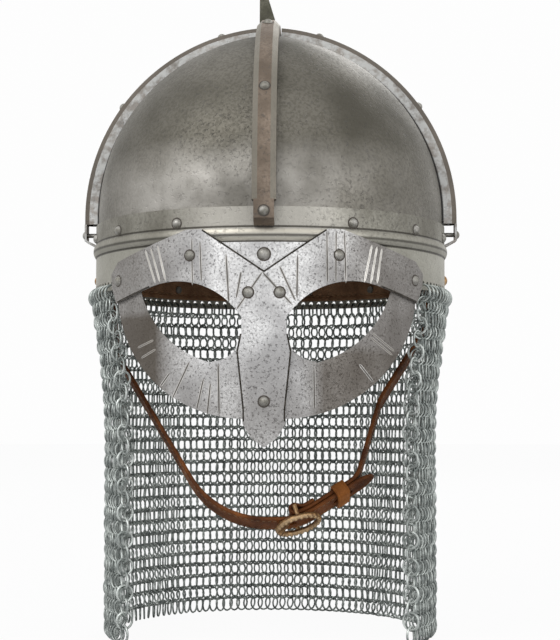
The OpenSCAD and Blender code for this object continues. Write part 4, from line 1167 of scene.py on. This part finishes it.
# The section's outer side from the lower edge up, with a groove where each seam lies
OUTER_SIDE = [(0.7, 0.0), (1.0, 0.5), (1.1, 1.2), (1.1, 3.0), (0.85, 3.3), (1.1, 3.6), (1.1, 25.4),
              (0.85, 25.7), (1.1, 26.0), (1.1, 27.8), (0.9, 28.6), (0.5, 29.0)]
INNER_SIDE = [(-out, up) for out, up in reversed(OUTER_SIDE)]
BAND_SECTION = INNER_SIDE[-1:] + OUTER_SIDE + INNER_SIDE[:-1]
rows = 260
points = []
for i in range(rows):
    length = 4 * QUARTER * i / rows
    for out, up in BAND_SECTION:
        x, y, _ = rim(length, out - middle_in)
        points.append((x * MM, y * MM, (HEADBAND_LOW + up) * MM))
faces = sweep_faces(rows, len(BAND_SECTION), closed=True)
headband = make_object("liner_headband_leather", points, faces, liner_leather)
tidy_mesh(headband)
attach(headband, "helmet")
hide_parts("liner_headband")

stitch_long = stitch_shape(3.0, 0.8)
matrices = []
seam_count = 170
for i in range(seam_count):
    x, y, a = rim(4 * QUARTER * (i + 0.5) / seam_count, -HEADBAND_IN - LINER_T + 0.2)
    for z in (HEADBAND_LOW + 3.3, HEADBAND_LOW + 25.7):
        # The stitch runs along the rim and bulges inward
        along, inward = Vector((-sin(a), cos(a), 0)), Vector((-cos(a), -sin(a), 0))
        m = Matrix((along, -inward, along.cross(-inward))).transposed().to_4x4()
        m.translation = Vector((x, y, z)) * MM
        matrices.append(m)
headband_seams = many("liner_headband_stitches", stitch_long, matrices, thread)
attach(headband_seams, "helmet")
print("headband:", len(headband.data.polygons), "faces,", len(matrices), "stitches")

# %% Petals
PETAL_IN, PETAL_R, PETAL_LOW, PETAL_BEND = 6.9, 88.0, 28.0, 34.0
LACE_RING_R, LACE_Z = 30.0, 119.6
PETAL_MID_R, PETAL_FOOT_R = 60, 200
TIP_HALF, MID_HALF, FOOT_HALF = 7, 20, 64


def petal_half_width(rho):
    """Half the petal's width at this distance from the crown, in plan."""
    if rho < PETAL_MID_R:
        return TIP_HALF + (rho - LACE_RING_R) * (MID_HALF - TIP_HALF) / (PETAL_MID_R - LACE_RING_R)
    return MID_HALF + (rho - PETAL_MID_R) * (FOOT_HALF - MID_HALF) / (PETAL_FOOT_R - PETAL_MID_R)


def petal_point(angle, v, deep):
    """x and y where a line of the petal, v from -1 to 1 across it, reaches this depth."""
    low, high = 8.0, 125.0
    for _ in range(26):
        rho = (low + high) / 2
        side = v * petal_half_width(rho)
        x = rho * cos(angle) - side * sin(angle)
        y = rho * sin(angle) + side * cos(angle)
        if float(depth_inside(x, y)) > deep:
            low = rho
        else:
            high = rho
    return x, y, rho


def petal_mesh(index, angle):
    """Grid of one petal's outer surface, from its foot up to the lace."""
    across, rise = 11, 26
    top = 0.0
    for k in range(90):
        psi = radians(k)
        _, _, rho = petal_point(angle, 0, PETAL_IN + PETAL_R * (1 - cos(psi)))
        if rho <= LACE_RING_R + 2.2:
            break
        top = psi
    points = []
    for row in range(rise + 1):
        for j in range(across + 1):
            v = 2 * j / across - 1
            if row < 3:
                deep, z = PETAL_IN, PETAL_LOW + 2 * row + 0.4 * abs(v) ** 4
            else:
                psi = top * (row - 3) / (rise - 3)
                deep, z = PETAL_IN + PETAL_R * (1 - cos(psi)), PETAL_BEND + PETAL_R * sin(psi)
            x, y, _ = petal_point(angle, v, deep)
            points.append((x * MM, y * MM, z * MM))
    faces = []
    n = across + 1
    for row in range(rise):
        for j in range(across):
            a = row * n + j
            faces.append((a, a + 1, a + n + 1, a + n))
    petal = make_object(f"liner_petal_{index}", points, faces, liner_leather)
    thick = petal.modifiers.new("leather thickness", "SOLIDIFY")
    thick.thickness = LINER_T * MM
    thick.offset = -1
    thick.use_even_offset = True
    soft = petal.modifiers.new("soft edge", "BEVEL")
    soft.width = 0.5 * MM
    soft.segments = 2
    soft.angle_limit = radians(50)
    return petal


for index in range(8):
    petal = petal_mesh(index, radians(22.5 + 45 * index))
    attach(petal, "helmet")
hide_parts("liner_petals_front", "liner_petals_rear")

# %% Hems and the lace
HEM_R, HEM_HALF_ANGLE, HEM_BULGE = 3.75, radians(11), 0.05


def hem_mesh(name, start, end):
    """The rolled top of a petal: a tube round the crown, a little thicker in the middle."""
    steps, sides = max(6, int((end - start) / radians(2))), 12
    points = []
    for i in range(steps + 1):
        a = start + (end - start) * i / steps
        thick = HEM_R * (1 + HEM_BULGE * sin(pi * i / steps))
        for j in range(sides):
            b = 2 * pi * j / sides
            r = LACE_RING_R + thick * cos(b)
            points.append((r * cos(a) * MM, r * sin(a) * MM,
                           (LACE_Z + thick * sin(b)) * MM))
    return make_object(name, points, sweep_faces(steps + 1, sides), liner_leather)


for index in range(8):
    angle = radians(22.5 + 45 * index)
    hem = hem_mesh(f"liner_hem_{index}", angle - HEM_HALF_ANGLE, angle + HEM_HALF_ANGLE)
    tidy_mesh(hem)
    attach(hem, "helmet")

TWISTS, STRAND_R, STRAND_OFF = 26, 0.95, 0.72
lace_points, lace_faces = [], []
for strand in range(2):
    steps, sides = 520, 8
    first = len(lace_points)
    for i in range(steps):
        a = 2 * pi * i / steps
        twist = TWISTS * a + strand * pi
        cr = LACE_RING_R + STRAND_OFF * cos(twist)
        cz = LACE_Z + STRAND_OFF * sin(twist)
        for j in range(sides):
            b = 2 * pi * j / sides
            r = cr + STRAND_R * cos(b)
            lace_points.append((r * cos(a) * MM, r * sin(a) * MM,
                                (cz + STRAND_R * sin(b)) * MM))
    lace_faces += [tuple(first + k for k in f) for f in sweep_faces(steps, sides, closed=True)]
lace = make_object("liner_lace_twisted", lace_points, lace_faces, lace_leather)
tidy_mesh(lace)
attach(lace, "helmet")
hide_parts("liner_lace")
print("lace:", len(lace_faces), "faces")

# %% [markdown]
# ## Light, floor and background
# The picture has a plain white background and soft even light from the upper left. The world
# is mid grey for the light that it gives, and white where the camera or a reflection sees it,
# just as white as the floor, so that no horizon shows.
# A large soft lamp from the upper left models the shapes, a weaker one fills the right, and a
# third from behind lights the back and the edges.

# %% World
world = bpy.data.worlds.new("studio")
scene.world = world
world.use_nodes = True
tree = world.node_tree
background = tree.nodes["Background"]
white = tree.nodes.new("ShaderNodeBackground")
background.inputs["Color"].default_value = (0.42, 0.42, 0.43, 1)
white.inputs["Color"].default_value = (0.985, 0.985, 0.985, 1)
rays = tree.nodes.new("ShaderNodeLightPath")
seen = maths(tree, "MAXIMUM", rays.outputs["Is Camera Ray"],
             maths(tree, "MAXIMUM", rays.outputs["Is Glossy Ray"], rays.outputs["Is Transmission Ray"]))
mix = tree.nodes.new("ShaderNodeMixShader")
tree.links.new(seen, mix.inputs[0])
tree.links.new(background.outputs[0], mix.inputs[1])
tree.links.new(white.outputs[0], mix.inputs[2])
tree.links.new(mix.outputs[0], tree.nodes["World Output"].inputs["Surface"])
scene.view_settings.view_transform = "Standard"
print("world ready")

# %% Lamps
def soft_lamp(name, spot, size, power):
    """An area lamp that looks at the middle of the helmet."""
    data = bpy.data.lights.new(name, "AREA")
    data.shape = "DISK"
    data.size = size
    data.energy = power
    lamp = bpy.data.objects.new(name, data)
    lamp.location = spot
    lamp.rotation_euler = (Vector((0, 0, 0)) - Vector(spot)).to_track_quat("-Z", "Y").to_euler()
    scene.collection.objects.link(lamp)


# name, place in metres, size in metres, power in watts
soft_lamp("key", (-1.2, -1.5, 1.5), 0.9, 17)
soft_lamp("fill", (1.7, -1.3, 0.4), 1.4, 6.5)
soft_lamp("back", (0.6, 1.9, 1.4), 1.2, 10)

# %% Floor
FLOOR_Z = -0.2004
HALF_FLOOR = 6.0
floor_points = [(x * HALF_FLOOR, y * HALF_FLOOR, FLOOR_Z) for x, y in ((-1, -1), (1, -1), (1, 1), (-1, 1))]
floor_material, tree, shader = new_material("pale_floor")
shader.inputs["Base Color"].default_value = (0.82, 0.82, 0.82, 1)
shader.inputs["Roughness"].default_value = 0.9
paint = tree.nodes.new("ShaderNodeEmission")
rays = tree.nodes.new("ShaderNodeLightPath")
mix = tree.nodes.new("ShaderNodeMixShader")
tree.links.new(times(tree, rays.outputs["Is Camera Ray"], 0.95), mix.inputs[0])
tree.links.new(shader.outputs[0], mix.inputs[1])
tree.links.new(paint.outputs[0], mix.inputs[2])
tree.links.new(mix.outputs[0], tree.nodes["Material Output"].inputs["Surface"])
floor = make_object("floor", floor_points, [(0, 1, 2, 3)], floor_material, smooth=False)
print("floor at", FLOOR_Z)
